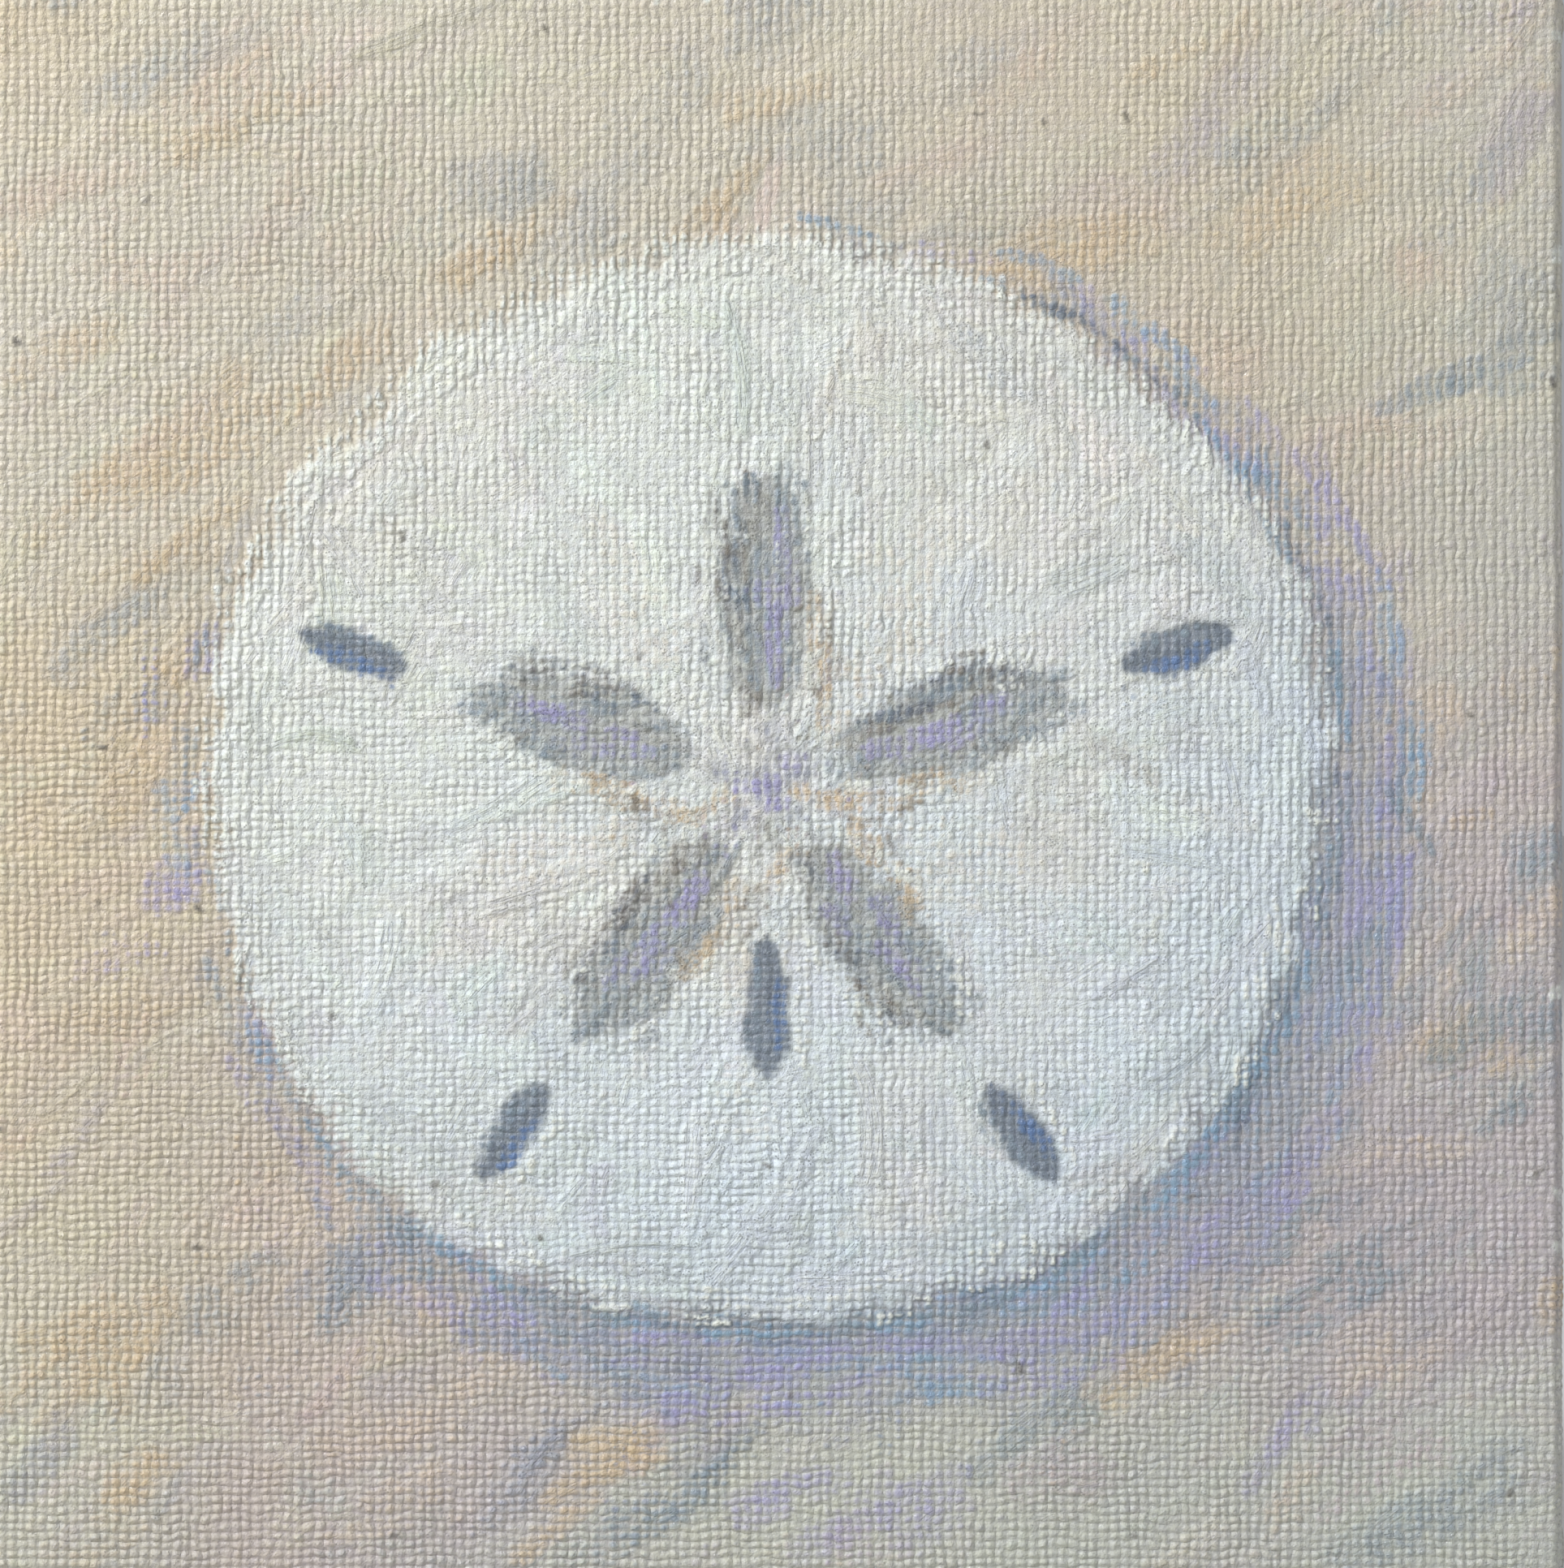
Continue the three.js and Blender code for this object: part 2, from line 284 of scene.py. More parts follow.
def wrap(s, t):
    """Places and outward normals of the painted face and its turned edges.

    s and t are lengths along the cloth from its middle. Past FLAT the cloth turns round
    the bar: with a and b the angles turned each way, a corner is a part of a ball whose
    slope is the larger angle and whose bearing shares 90 degrees by their ratio."""
    a = np.clip(np.abs(s) - FLAT, 0, ARC) / TURN
    b = np.clip(np.abs(t) - FLAT, 0, ARC) / TURN
    slope = np.maximum(a, b)
    ratio = np.minimum(a, b) / np.maximum(slope, 1e-9)
    bearing = np.where(a >= b, ratio, 2 - ratio) * math.pi / 4
    out = np.stack([
        np.sign(s) * np.sin(slope) * np.cos(bearing),
        -np.cos(slope),
        np.sign(t) * np.sin(slope) * np.sin(bearing),
    ], -1)
    core = np.stack([
        np.clip(s, -FLAT, FLAT),
        np.full_like(s, FRONT + TURN),
        np.clip(t, -FLAT, FLAT) + HALF,
    ], -1)
    return core + TURN * out, out


# ------------------------------------------------------------------------------- strokes


class Picture:
    """Paint on a grid of places on the unrolled cloth.

    tops is the paint on the threads and hollows is the paint between them. body is how
    thick the paint lies. pull holds, for each place, how far along and across the last
    stroke it lies in mm, and a number of that stroke's own, which the bristle marks read.
    """

    def __init__(self, axis, tooth, seed):
        self.axis, self.tooth = axis, tooth
        self.step = axis[1] - axis[0]
        self.x, self.z = np.meshgrid(axis, axis)
        self.tops = np.zeros((*tooth.shape, 3))
        self.hollows = np.zeros((*tooth.shape, 3))
        self.body = np.full(tooth.shape, 0.2)
        self.pull = np.zeros((*tooth.shape, 3))
        self.grip = (1.1 * (tooth - 0.62) + 0.30 * noise(self.x, self.z, 1.5, seed + 1)
                     + 0.34 * noise(self.x, self.z, 0.6, seed + 2))
        self.rng = np.random.default_rng(seed)

    def window(self, x, z, reach):
        """The rows and columns of the grid within reach of a place."""
        def cut(at):
            low = int(np.clip((at - reach - self.axis[0]) / self.step, 0, len(self.axis)))
            high = int(np.clip((at + reach - self.axis[0]) / self.step + 2, 0, len(self.axis)))
            return slice(low, high)
        return cut(z), cut(x)

    def lay(self, where, cover, colour, dry=0.5, wet=0.5, body=0.3, opacity=1.0):
        """Lays paint where cover is over 0, and gives how much stays on the threads.

        Wet paint stays in proportion to its cover. Dry paint stays where the cover and
        the cloth's grip together pass a half, so that it breaks up over the threads. The
        hollows take the share wet of it."""
        present = ease(0.0, 0.15, cover)
        grip = self.grip[where]
        spread = 1 - 0.72 * dry
        on_tops = np.clip(0.5 + (cover - 0.5 + dry * grip) / spread, 0, 1) * present
        under = np.clip(0.3 + (cover - 0.5 + 0.5 * dry * grip) / spread, 0, 1) * present
        on_tops, under = opacity * on_tops, opacity * wet * under
        colour = np.asarray(colour)
        self.tops[where] += on_tops[..., None] * (colour - self.tops[where])
        self.hollows[where] += under[..., None] * (colour - self.hollows[where])
        self.body[where] += 0.85 * on_tops * (body - self.body[where])
        return on_tops

    def stroke(self, x, z, turn, long, wide, colour, load=1.0, dry=0.5, wet=0.5, body=0.3,
               bend=0.0, opacity=1.0, within=None):
        """One pull of the brush, centred on (x, z), in the direction turn in degrees.

        a runs from -1 to 1 along it and b across it, where its width narrows as
        (1 - |a|^2.5)^0.5. The cover is load (1 - |b|^3), less what the bristles miss, and
        it fades over the last third of each end. The bristles comb the paint into ridges."""
        where = self.window(x, z, long / 2 + wide)
        dx, dz = self.x[where] - x, self.z[where] - z
        if dx.size == 0:
            return
        c, n = math.cos(math.radians(turn)), math.sin(math.radians(turn))
        along, across = dx * c + dz * n, dz * c - dx * n
        a = along / (long / 2)
        across = across + bend * wide * (a * a - 0.4)
        b = across / (wide / 2) / np.sqrt(np.clip(1 - np.abs(a) ** 2.5, 0.02, 1))
        count, per_mm = 64, 3.0
        bristles = self.rng.uniform(0, 1, count)
        sway = 0.06 * np.sin(a * 3 + self.rng.uniform(0, 6))
        lane = (across / wide + 2 + sway) * wide * per_mm
        i = lane.astype(int)
        near, far = bristles[i % count], bristles[(i + 1) % count]
        missed = near + (far - near) * (lane - i)
        cover = load * np.clip(1 - np.abs(b) ** 3, 0, 1) * ease(0, 0.34, 1 - np.abs(a))
        cover = cover - (0.15 + 0.4 * dry) * missed * (cover > 0) - 0.12 * dry * (a + 1)
        if within is not None:
            cover = cover * within[where]
        combed = body * (1.2 - 0.7 * missed)
        laid = self.lay(where, cover, colour, dry, wet, combed, opacity)
        fresh = np.stack([along, across, np.full_like(along, self.rng.uniform(0, 90))], -1)
        self.pull[where] = np.where((laid > 0.6 * opacity)[..., None], fresh, self.pull[where])

    def seams(self):
        """1 where one stroke meets the next and 0 elsewhere, so that bristle marks end
        softly there."""
        number = self.pull[..., 2]
        met = np.zeros(number.shape)
        aside, above = number[:, 1:] != number[:, :-1], number[1:] != number[:-1]
        for part, change in ((met[:, 1:], aside), (met[:, :-1], aside),
                             (met[1:], above), (met[:-1], above)):
            part[change] = 1.0
        return met

    def colour_at(self, layer, x, z):
        """The colour of a layer at one place."""
        i, j = (int(np.clip((v - self.axis[0]) / self.step, 0, len(self.axis) - 1))
                for v in (z, x))
        return layer[i, j]


EVERYWHERE = (slice(None), slice(None))


# ---------------------------------------------------------------------- the painted shell
#
# A textbook sand dollar from straight above, in the middle of the canvas: a round shell
# with five like petals a fifth of a turn apart, the first of them pointing up. The other
# four have a slot past their tips, and one more slot lies between the two lower petals.
# Bases, tips and widths are shares of the shell's radius.

SHELL_RADIUS = 0.7 * HALF
FIFTH = 72.0
PETAL_BEARINGS = tuple(90 + FIFTH * k for k in range(5))
SLOT_BEARINGS = PETAL_BEARINGS[1:]
PETAL_BASE, PETAL_TIP, PETAL_WIDTH = 0.13, 0.56, 0.18
SLOT_BASE, SLOT_TIP, SLOT_WIDTH = 0.67, 0.88, 0.085
LOW_SLOT_BASE, LOW_SLOT_TIP = 0.28, 0.54
PAINTED_LIGHT = 127.0    # bearing that the painted light comes from, in degrees
LIGHT_X = math.cos(math.radians(PAINTED_LIGHT))
LIGHT_Z = math.sin(math.radians(PAINTED_LIGHT))
SHADE_REACH = 6.0        # how far the cast shade lies from the shell, in mm
BRUSH_SLANT = 35.0       # the way most pulls over the ground run, in degrees
GROUND_PULLS, GROUND_ACCENTS, SHADE_PULLS = 1500, 300, 420
SHELL_PULLS, DARK_RIM_PULLS, LIGHT_RIM_PULLS = 1150, 170, 380
PETAL_PULLS, PETAL_PORES, PETAL_HALO_PULLS = 70, 11, 60
SPECKS, CHIPS = 34, 16
PETAL_LINES = (          # share of the petal from and to, side, width and paint
    (0.15, 0.95, 0.40, 0.20, "dark_slate"),
    (0.2, 0.95, 0.48, 0.16, "brown"),
    (-0.1, 0.6, -0.50, 0.34, "ochre"),
    (0.0, 0.4, -0.56, 0.20, "brown"),
    (0.1, 0.85, -0.05, 0.30, "violet"),
    (0.5, 1.05, -0.3, 0.3, "petal_blue"),
)
WARM_ACCENTS = ("ochre", "pink_sand", "pale_sand", "grey")
COOL_ACCENTS = ("violet", "lavender", "mauve", "slate", "pink_sand", "ochre", "petal_blue")


def away_from_light(x, z):
    """From 0 at the edge that the painted light comes from to 1 at the far one."""
    return ease(-1, 1, -(x * LIGHT_X + z * LIGHT_Z) / HALF)


def reach_at(bearing):
    """The shell's reach in a direction t: R (1 + 0.02 cos 2t + 0.012 cos 5(t - 90)), a
    round that is a little wider than high, with a faint swell at each petal."""
    t = np.radians(bearing)
    return SHELL_RADIUS * (1 + 0.02 * np.cos(2 * t) + 0.012 * np.cos(5 * (t - math.pi / 2)))


def shell_edge(x, z):
    """How far inside the shell's rim a place is in mm, less than 0 outside."""
    return reach_at(np.degrees(np.arctan2(z, x))) - np.hypot(x, z)


def spoke(bearing, share):
    """The place at a share of the shell's radius from its middle, in a direction."""
    turn = math.radians(bearing)
    return SHELL_RADIUS * share * math.cos(turn), SHELL_RADIUS * share * math.sin(turn)


def rim_place(bearing, inside):
    """A place that far inside the shell's rim, and the direction along the rim there."""
    share = 1 - inside / SHELL_RADIUS
    (x0, z0), (x1, z1) = (
        spoke(b, share * reach_at(b) / SHELL_RADIUS) for b in (bearing - 2, bearing + 2))
    return (x0 + x1) / 2, (z0 + z1) / 2, math.degrees(math.atan2(z1 - z0, x1 - x0))


def leaf_half(wide, share):
    """Half a leaf's width at a share f of its length: wide / 2 sin(pi f)^0.55."""
    return wide / 2 * np.sin(np.pi * np.clip(share, 0, 1)) ** 0.55


def leaf(x, z, base, tip, wide):
    """How far inside a leaf-shaped outline from base to tip a place is, in mm."""
    (x0, z0), (x1, z1) = base, tip
    reach = math.hypot(x1 - x0, z1 - z0)
    ux, uz = (x1 - x0) / reach, (z1 - z0) / reach
    along = ((x - x0) * ux + (z - z0) * uz) / reach
    left = (z - z0) * ux - (x - x0) * uz
    past_ends = np.maximum(np.abs(along - 0.5) - 0.5, 0) * reach
    return leaf_half(wide, along) - np.abs(left) - past_ends


def beside_leaf(base, tip, share, off):
    """The place at a share of the way from base to tip, off to its left."""
    return beside(base, tip, share, 1, off)[0]


def side_of_light(bearing):
    """1 where the painted light falls on the left of a direction, else -1."""
    return 1 if math.sin(math.radians(PAINTED_LIGHT - bearing)) > 0 else -1


def line_strokes(picture, start, stop, wide, colour, count=5, share=0.45, spread=0.3,
                 tint=0.035, **brush):
    """Pulls laid end over end from one place to another, straying by spread."""
    rng = picture.rng
    (x0, z0), (x1, z1) = start, stop
    reach = math.hypot(x1 - x0, z1 - z0)
    turn = math.degrees(math.atan2(z1 - z0, x1 - x0))
    for f in np.linspace(share / 2, 1 - share / 2, count):
        picture.stroke(
            x0 + (x1 - x0) * f + rng.normal(0, spread), z0 + (z1 - z0) * f + rng.normal(0, spread),
            turn + rng.normal(0, 7), reach * share * rng.uniform(0.85, 1.2),
            wide * rng.uniform(0.75, 1.2), np.asarray(colour) * (1 + rng.normal(0, tint)),
            bend=rng.normal(0, 0.12), **brush)


def beside(start, stop, low, high, off):
    """The stretch of a line from share low to share high, moved to its left by off."""
    (x0, z0), (x1, z1) = start, stop
    reach = math.hypot(x1 - x0, z1 - z0)
    nx, nz = -(z1 - z0) / reach * off, (x1 - x0) / reach * off
    return tuple((x0 + (x1 - x0) * f + nx, z0 + (z1 - z0) * f + nz) for f in (low, high))


def ground_colour(x, z, p):
    """Sand that runs from warm on the light's side to cool: two mixtures of two paints,
    each shared out by slow noise, and blended by away_from_light."""
    drift = ease(-0.8, 0.8, noise(x, z, 26.0, 31))[..., None]
    patch = ease(-0.8, 0.8, noise(x, z, 15.0, 33))[..., None]
    stray_x, stray_z = 9 * noise(x, z, 17.0, 34), 9 * noise(x, z, 17.0, 35)
    away = away_from_light(x + stray_x, z + stray_z)[..., None]
    lit = p["pale_sand"] + drift * (p["warm_sand"] - p["pale_sand"])
    cool = p["cool_sand"] + patch * (p["mauve"] - p["cool_sand"])
    return lit + away * (cool - lit)


def shell_colour(x, z, p):
    """The shell's paint: cream on the light's side and a cool white on the other, with
    warm patches by slow noise, and darker where the dome falls away from the light."""
    away = away_from_light(1.5 * x, 1.5 * z)[..., None]
    patch = ease(0.0, 0.9, noise(x, z, 9.0, 37))[..., None]
    fall = ease(7.0, -1.0, shell_edge(x, z))[..., None] * away
    laid = p["cream"] + away * (p["cool_white"] - p["cream"])
    laid = laid + 0.6 * patch * (p["shell_warm"] - laid)
    return laid * (1 - 0.16 * fall)


def brush_ground(picture, p):
    """Loose pulls over the whole ground: each takes the colour of a place close by."""
    rng = picture.rng
    laid = ground_colour(picture.x, picture.z, p)
    # The hollows get the same paint 4% darker than the threads: painted shade between the threads.
    picture.tops[:], picture.hollows[:] = laid, laid * 0.96
    for _ in range(GROUND_PULLS):
        x, z = rng.uniform(-53, 53, 2)
        colour = picture.colour_at(laid, x + rng.normal(0, 7), z + rng.normal(0, 7))
        colour = colour * (1 + rng.normal(0, 0.06) + rng.normal(0, 0.03, 3))
        picture.stroke(x, z, BRUSH_SLANT + rng.normal(0, 24), rng.uniform(5, 15),
                       rng.uniform(1.6, 4.2), colour, load=rng.uniform(0.6, 1.0),
                       dry=rng.uniform(0.2, 0.8), wet=rng.uniform(0.2, 0.8),
                       body=rng.uniform(0.1, 0.5), bend=rng.normal(0, 0.2),
                       opacity=rng.uniform(0.35, 0.85))


def brush_accents(picture, p):
    """Broken colour over the ground, in short runs of pulls: warm paints on the light's
    side and cool ones away from it."""
    rng = picture.rng
    for _ in range(GROUND_ACCENTS):
        x, z = rng.uniform(-HALF, HALF, 2)
        cool = rng.random() < away_from_light(1.3 * x, 1.3 * z)
        name = rng.choice(COOL_ACCENTS if cool else WARM_ACCENTS)
        turn = math.radians(BRUSH_SLANT + rng.normal(0, 16))
        reach = rng.uniform(5, 16)
        stop = x + reach * math.cos(turn), z + reach * math.sin(turn)
        line_strokes(picture, (x, z), stop, rng.uniform(1.6, 4.6), p[name], 5, share=0.55,
                     spread=0.9, load=0.95, dry=rng.uniform(0.4, 0.75), wet=0.5,
                     body=rng.uniform(0.2, 0.7), opacity=rng.uniform(0.25, 0.6))


def brush_shade(picture, p):
    """The cast shade: the shell's outline moved away from the light, soft at its edge and
    deepest beside the shell, with pulls along it."""
    rng = picture.rng
    moved = shell_edge(picture.x + SHADE_REACH * LIGHT_X, picture.z + SHADE_REACH * LIGHT_Z)
    moved = moved + 1.3 * noise(picture.x, picture.z, 5.0, 55)
    picture.lay(EVERYWHERE, 0.85 * ease(-6.0, 2.5, moved), p["lavender"], dry=0.4, wet=0.8,
                body=0.2, opacity=0.8)
    picture.lay(EVERYWHERE, 0.8 * ease(1.0, 5.5, moved), p["slate"], dry=0.5, wet=0.7,
                body=0.25, opacity=0.7)
    for _ in range(SHADE_PULLS):
        bearing = rng.normal(PAINTED_LIGHT + 180, 48)
        far = abs((bearing - PAINTED_LIGHT + 180) % 360 - 180) / 180
        x, z, turn = rim_place(bearing, -rng.uniform(0, 1.25 * SHADE_REACH) * far)
        name = rng.choice(("violet", "lavender", "slate", "rim_blue"), p=(0.4, 0.3, 0.15, 0.15))
        picture.stroke(x, z, turn + rng.normal(0, 16), rng.uniform(4, 10), rng.uniform(1, 2.6),
                       p[name] * rng.uniform(0.95, 1.05), load=0.9, dry=rng.uniform(0.4, 0.8),
                       wet=0.5, body=0.25, bend=rng.normal(0, 0.15),
                       opacity=rng.uniform(0.3, 0.65))


def brush_shell(picture, p, inside):
    """The shell: paint held inside its rim, then dry pulls that fan from its middle."""
    rng = picture.rng
    laid = shell_colour(picture.x, picture.z, p)
    ragged = (0.5 * noise(picture.x, picture.z, 1.3, 41)
              + 0.7 * noise(picture.x, picture.z, 4.0, 42)
              + 0.35 * noise(picture.x, picture.z, 0.7, 43))
    picture.lay(EVERYWHERE, ease(-0.4, 1.6, inside - 0.4 + ragged), laid, dry=0.5, wet=0.95,
                body=0.45)
    picture.lay(EVERYWHERE, ease(-0.9, 1.7, inside + ragged), laid * 1.03, dry=0.95, wet=0.4,
                body=0.5)
    held = ease(-0.7, 0.7, inside + ragged)
    for _ in range(SHELL_PULLS):
        x, z = rng.uniform(-SHELL_RADIUS, SHELL_RADIUS, 2)
        depth = shell_edge(x, z)
        if depth < 0.4:
            continue
        along_rim = depth < 5 or rng.random() < 0.3
        turn = math.degrees(math.atan2(z, x)) + (90 if along_rim else 0)
        near = picture.colour_at(laid, x + rng.normal(0, 4), z + rng.normal(0, 4))
        colour = near * (1 + rng.normal(0.0, 0.065) + rng.normal(0, 0.02, 3))
        thick = 0.5 * ease(-0.4, 0.7, noise(x, z, 13.0, 44))
        picture.stroke(x, z, turn + rng.normal(0, 22), rng.uniform(4, 12),
                       rng.uniform(1.6, 3.8), colour, load=rng.uniform(0.7, 1.1),
                       dry=rng.uniform(0.25, 0.75), wet=rng.uniform(0.5, 0.95),
                       body=rng.uniform(0.1, 0.7) + thick, within=held,
                       bend=rng.normal(0, 0.25), opacity=rng.uniform(0.5, 1.0))
    for bearing in PETAL_BEARINGS:
        between = bearing + FIFTH / 2
        line_strokes(picture, spoke(between, 0.2), spoke(between, 0.62), 5.0, p["shell_warm"], 7,
                     spread=1.2, load=0.8, dry=0.7, wet=0.5, body=0.5, opacity=0.4)


def brush_rim(picture, p, inside):
    """The rim: a dark line under its shaded side, and thick dabs along its lit side."""
    rng = picture.rng
    for _ in range(DARK_RIM_PULLS):
        x, z, turn = rim_place(rng.normal(PAINTED_LIGHT + 180, 52), -0.5 + rng.normal(0, 0.3))
        name = rng.choice(("slate", "rim_blue", "dark_slate"), p=(0.5, 0.3, 0.2))
        picture.stroke(x, z, turn + rng.normal(0, 8), rng.uniform(3, 7), rng.uniform(0.7, 1.6),
                       p[name] * rng.uniform(0.92, 1.05), load=0.9, dry=0.65, wet=0.5, body=0.3,
                       opacity=0.65)
    for _ in range(LIGHT_RIM_PULLS):
        x, z, turn = rim_place(rng.normal(PAINTED_LIGHT, 85), rng.uniform(-0.4, 2.6))
        picture.stroke(x, z, turn + rng.normal(0, 25), rng.uniform(1.4, 4.6),
                       rng.uniform(0.6, 1.7), p["cream"] * rng.uniform(0.95, 1.08), load=0.85,
                       dry=0.85, wet=0.3, body=0.95, opacity=0.8, within=ease(-0.9, 0.2, inside))


def petal_body(picture, p, bearing, base, tip, wide):
    """Short pulls that fill one petal, darker on the side towards the light."""
    rng = picture.rng
    dark = side_of_light(bearing)
    for _ in range(PETAL_PULLS):
        f, side = rng.uniform(0.05, 0.95), rng.uniform(-1, 1)
        x, z = beside_leaf(base, tip, f, side * leaf_half(wide, f))
        name = rng.choice(("petal_blue", "taupe", "grey", "slate"), p=(0.4, 0.25, 0.2, 0.15))
        if side * dark > 0.45:
            name = "brown" if rng.random() < 0.5 else "slate"
        picture.stroke(x, z, bearing + rng.normal(0, 16), rng.uniform(2, 6),
                       rng.uniform(0.7, 1.9), p[name] * rng.uniform(0.9, 1.1), load=0.9,
                       dry=rng.uniform(0.3, 0.8), wet=0.5, body=rng.uniform(0.4, 1.2),
                       opacity=rng.uniform(0.5, 0.9))
    for low, high, off, share, name in PETAL_LINES:
        line_strokes(picture, *beside(base, tip, low, high, off * wide * dark),
                     wide * share, p[name], 8, share=0.3, spread=0.55, load=0.95, dry=0.7,
                     wet=0.45, body=0.7, opacity=0.65)


def petal_pores(picture, p, bearing, base, tip, wide):
    """A row of fine slanting pores down each side of one petal."""
    rng = picture.rng
    for f in np.linspace(0.12, 0.92, PETAL_PORES) + rng.normal(0, 0.02, PETAL_PORES):
        for side in (-1, 1):
            x, z = beside_leaf(base, tip, f, side * 0.7 * leaf_half(wide, f))
            picture.stroke(x, z, bearing + side * 68 + rng.normal(0, 8),
                           rng.uniform(1.4, 2.2), rng.uniform(0.5, 0.8),
                           p[rng.choice(("slate", "brown", "cream", "taupe"))], load=1.0,
                           dry=0.6, wet=0.4, body=0.8, opacity=rng.uniform(0.3, 0.7))


def petal_halo(picture, p, bearing, base, tip, wide):
    """Thick light paint pulled up against one petal's outline."""
    rng = picture.rng
    for _ in range(PETAL_HALO_PULLS):
        f, side = rng.uniform(0.03, 0.97), rng.choice((-1, 1))
        x, z = beside_leaf(base, tip, f, side * (leaf_half(wide, f) + 0.6))
        picture.stroke(x, z, bearing + rng.normal(0, 35), rng.uniform(1.0, 3.0),
                       rng.uniform(0.5, 1.3), p["cream"] * rng.uniform(0.93, 1.08), load=0.85,
                       dry=0.85, wet=0.25, body=0.9, opacity=0.85)


def brush_petals(picture, p):
    """Each petal: a grey leaf, dark on the side towards the light and warm on the other, a
    row of fine pores across each side, a streak down it, and thick light paint round it."""
    wide = PETAL_WIDTH * SHELL_RADIUS
    stray = (0.5 * noise(picture.x, picture.z, 1.7, 71)
             + 0.3 * noise(picture.x, picture.z, 0.7, 72))
    for bearing in PETAL_BEARINGS:
        base, tip = spoke(bearing, PETAL_BASE), spoke(bearing, PETAL_TIP)
        cover = ease(-0.9, 1.0, leaf(picture.x, picture.z, base, tip, wide) + stray)
        picture.lay(EVERYWHERE, cover, p["taupe"], dry=0.6, wet=0.8, body=0.35, opacity=0.85)
        for part in (petal_body, petal_pores, petal_halo):
            part(picture, p, bearing, base, tip, wide)


def brush_slots(picture, p):
    """The slots through the shell: dark slate, bluer on the side away from the light."""
    slots = [(b, SLOT_BASE, SLOT_TIP) for b in SLOT_BEARINGS]
    slots.append((-90, LOW_SLOT_BASE, LOW_SLOT_TIP))
    wide = SLOT_WIDTH * SHELL_RADIUS
    stray = (0.4 * noise(picture.x, picture.z, 1.6, 81)
             + 0.12 * noise(picture.x, picture.z, 0.6, 82))
    for bearing, low, high in slots:
        base, tip = spoke(bearing, low), spoke(bearing, high)
        away = -side_of_light(bearing)
        cover = ease(-0.6, 0.6, leaf(picture.x, picture.z, base, tip, wide) + stray)
        picture.lay(EVERYWHERE, cover, p["dark_slate"], dry=0.4, wet=0.95, body=0.3,
                    opacity=0.92)
        line_strokes(picture, *beside(base, tip, 0.0, 0.9, -0.34 * wide * away), wide * 0.3,
                     p["slate"], 6, spread=0.3, load=0.85, dry=0.75, wet=0.4, opacity=0.6)
        line_strokes(picture, *beside(base, tip, 0.2, 0.85, 0.22 * wide * away), wide * 0.4,
                     p["deep_blue"], 7, spread=0.2, load=0.85, dry=0.6, wet=0.5, opacity=0.8)
        line_strokes(picture, *beside(base, tip, 0.0, 1.0, 0.72 * wide * away), wide * 0.34,
                     p["cream"], 7, spread=0.2, load=0.8, dry=0.8, wet=0.3, body=0.9, opacity=0.8)


def brush_middle(picture, p):
    """The star's middle: a lavender rosette with warm dabs between the petals' feet."""
    for k, bearing in enumerate(PETAL_BEARINGS):
        line_strokes(picture, spoke(bearing, -0.02), spoke(bearing, 0.12), 2.2, p["lavender"], 4,
                     spread=0.4, load=0.9, dry=0.6, wet=0.45, body=0.5, opacity=0.7)
        line_strokes(picture, spoke(bearing + FIFTH / 2, 0.03),
                     spoke(bearing + FIFTH / 2, 0.14), 1.7, p["ochre" if k % 2 else "taupe"], 4,
                     spread=0.3, load=0.9, dry=0.65, wet=0.4, body=0.6, opacity=0.7)
    line_strokes(picture, spoke(180, 0.06), spoke(0, 0.06), 2.0, p["violet"], 6, spread=0.6,
                 load=0.9, dry=0.55, wet=0.4, body=0.6, opacity=0.8)


def scatter_wear(picture, p):
    """Small marks of age: dark specks caught in the paint, and pale chips at the edges."""
    rng = picture.rng
    for _ in range(SPECKS):
        x, z = rng.uniform(-HALF, HALF, 2)
        picture.stroke(x, z, rng.uniform(0, 180), rng.uniform(0.5, 1.1), rng.uniform(0.35, 0.6),
                       p["brown"] * 0.6, load=1.0, dry=0.2, wet=1.0, body=0.6, opacity=0.75)
    for _ in range(CHIPS):
        along, side = rng.uniform(-HALF, HALF), rng.choice((-1, 1)) * (FLAT + 0.4 * ARC)
        x, z = (along, side) if rng.random() < 0.5 else (side, along)
        picture.stroke(x, z, rng.uniform(0, 180), rng.uniform(0.8, 2.2), rng.uniform(0.6, 1.3),
                       p["cream"], load=1.0, dry=0.5, wet=0.9, body=0.1, opacity=0.9)


def paint_picture(picture, palette):
    """The whole picture, in the order that a painter lays it. Gives shell_edge's depth."""
    p = swatches(palette)
    inside = shell_edge(picture.x, picture.z)
    brush_ground(picture, p)
    brush_accents(picture, p)
    brush_shade(picture, p)
    brush_shell(picture, p, inside)
    brush_rim(picture, p, inside)
    brush_petals(picture, p)
    brush_slots(picture, p)
    brush_middle(picture, p)
    scatter_wear(picture, p)
    return inside


# ----------------------------------------------------------------------------- materials


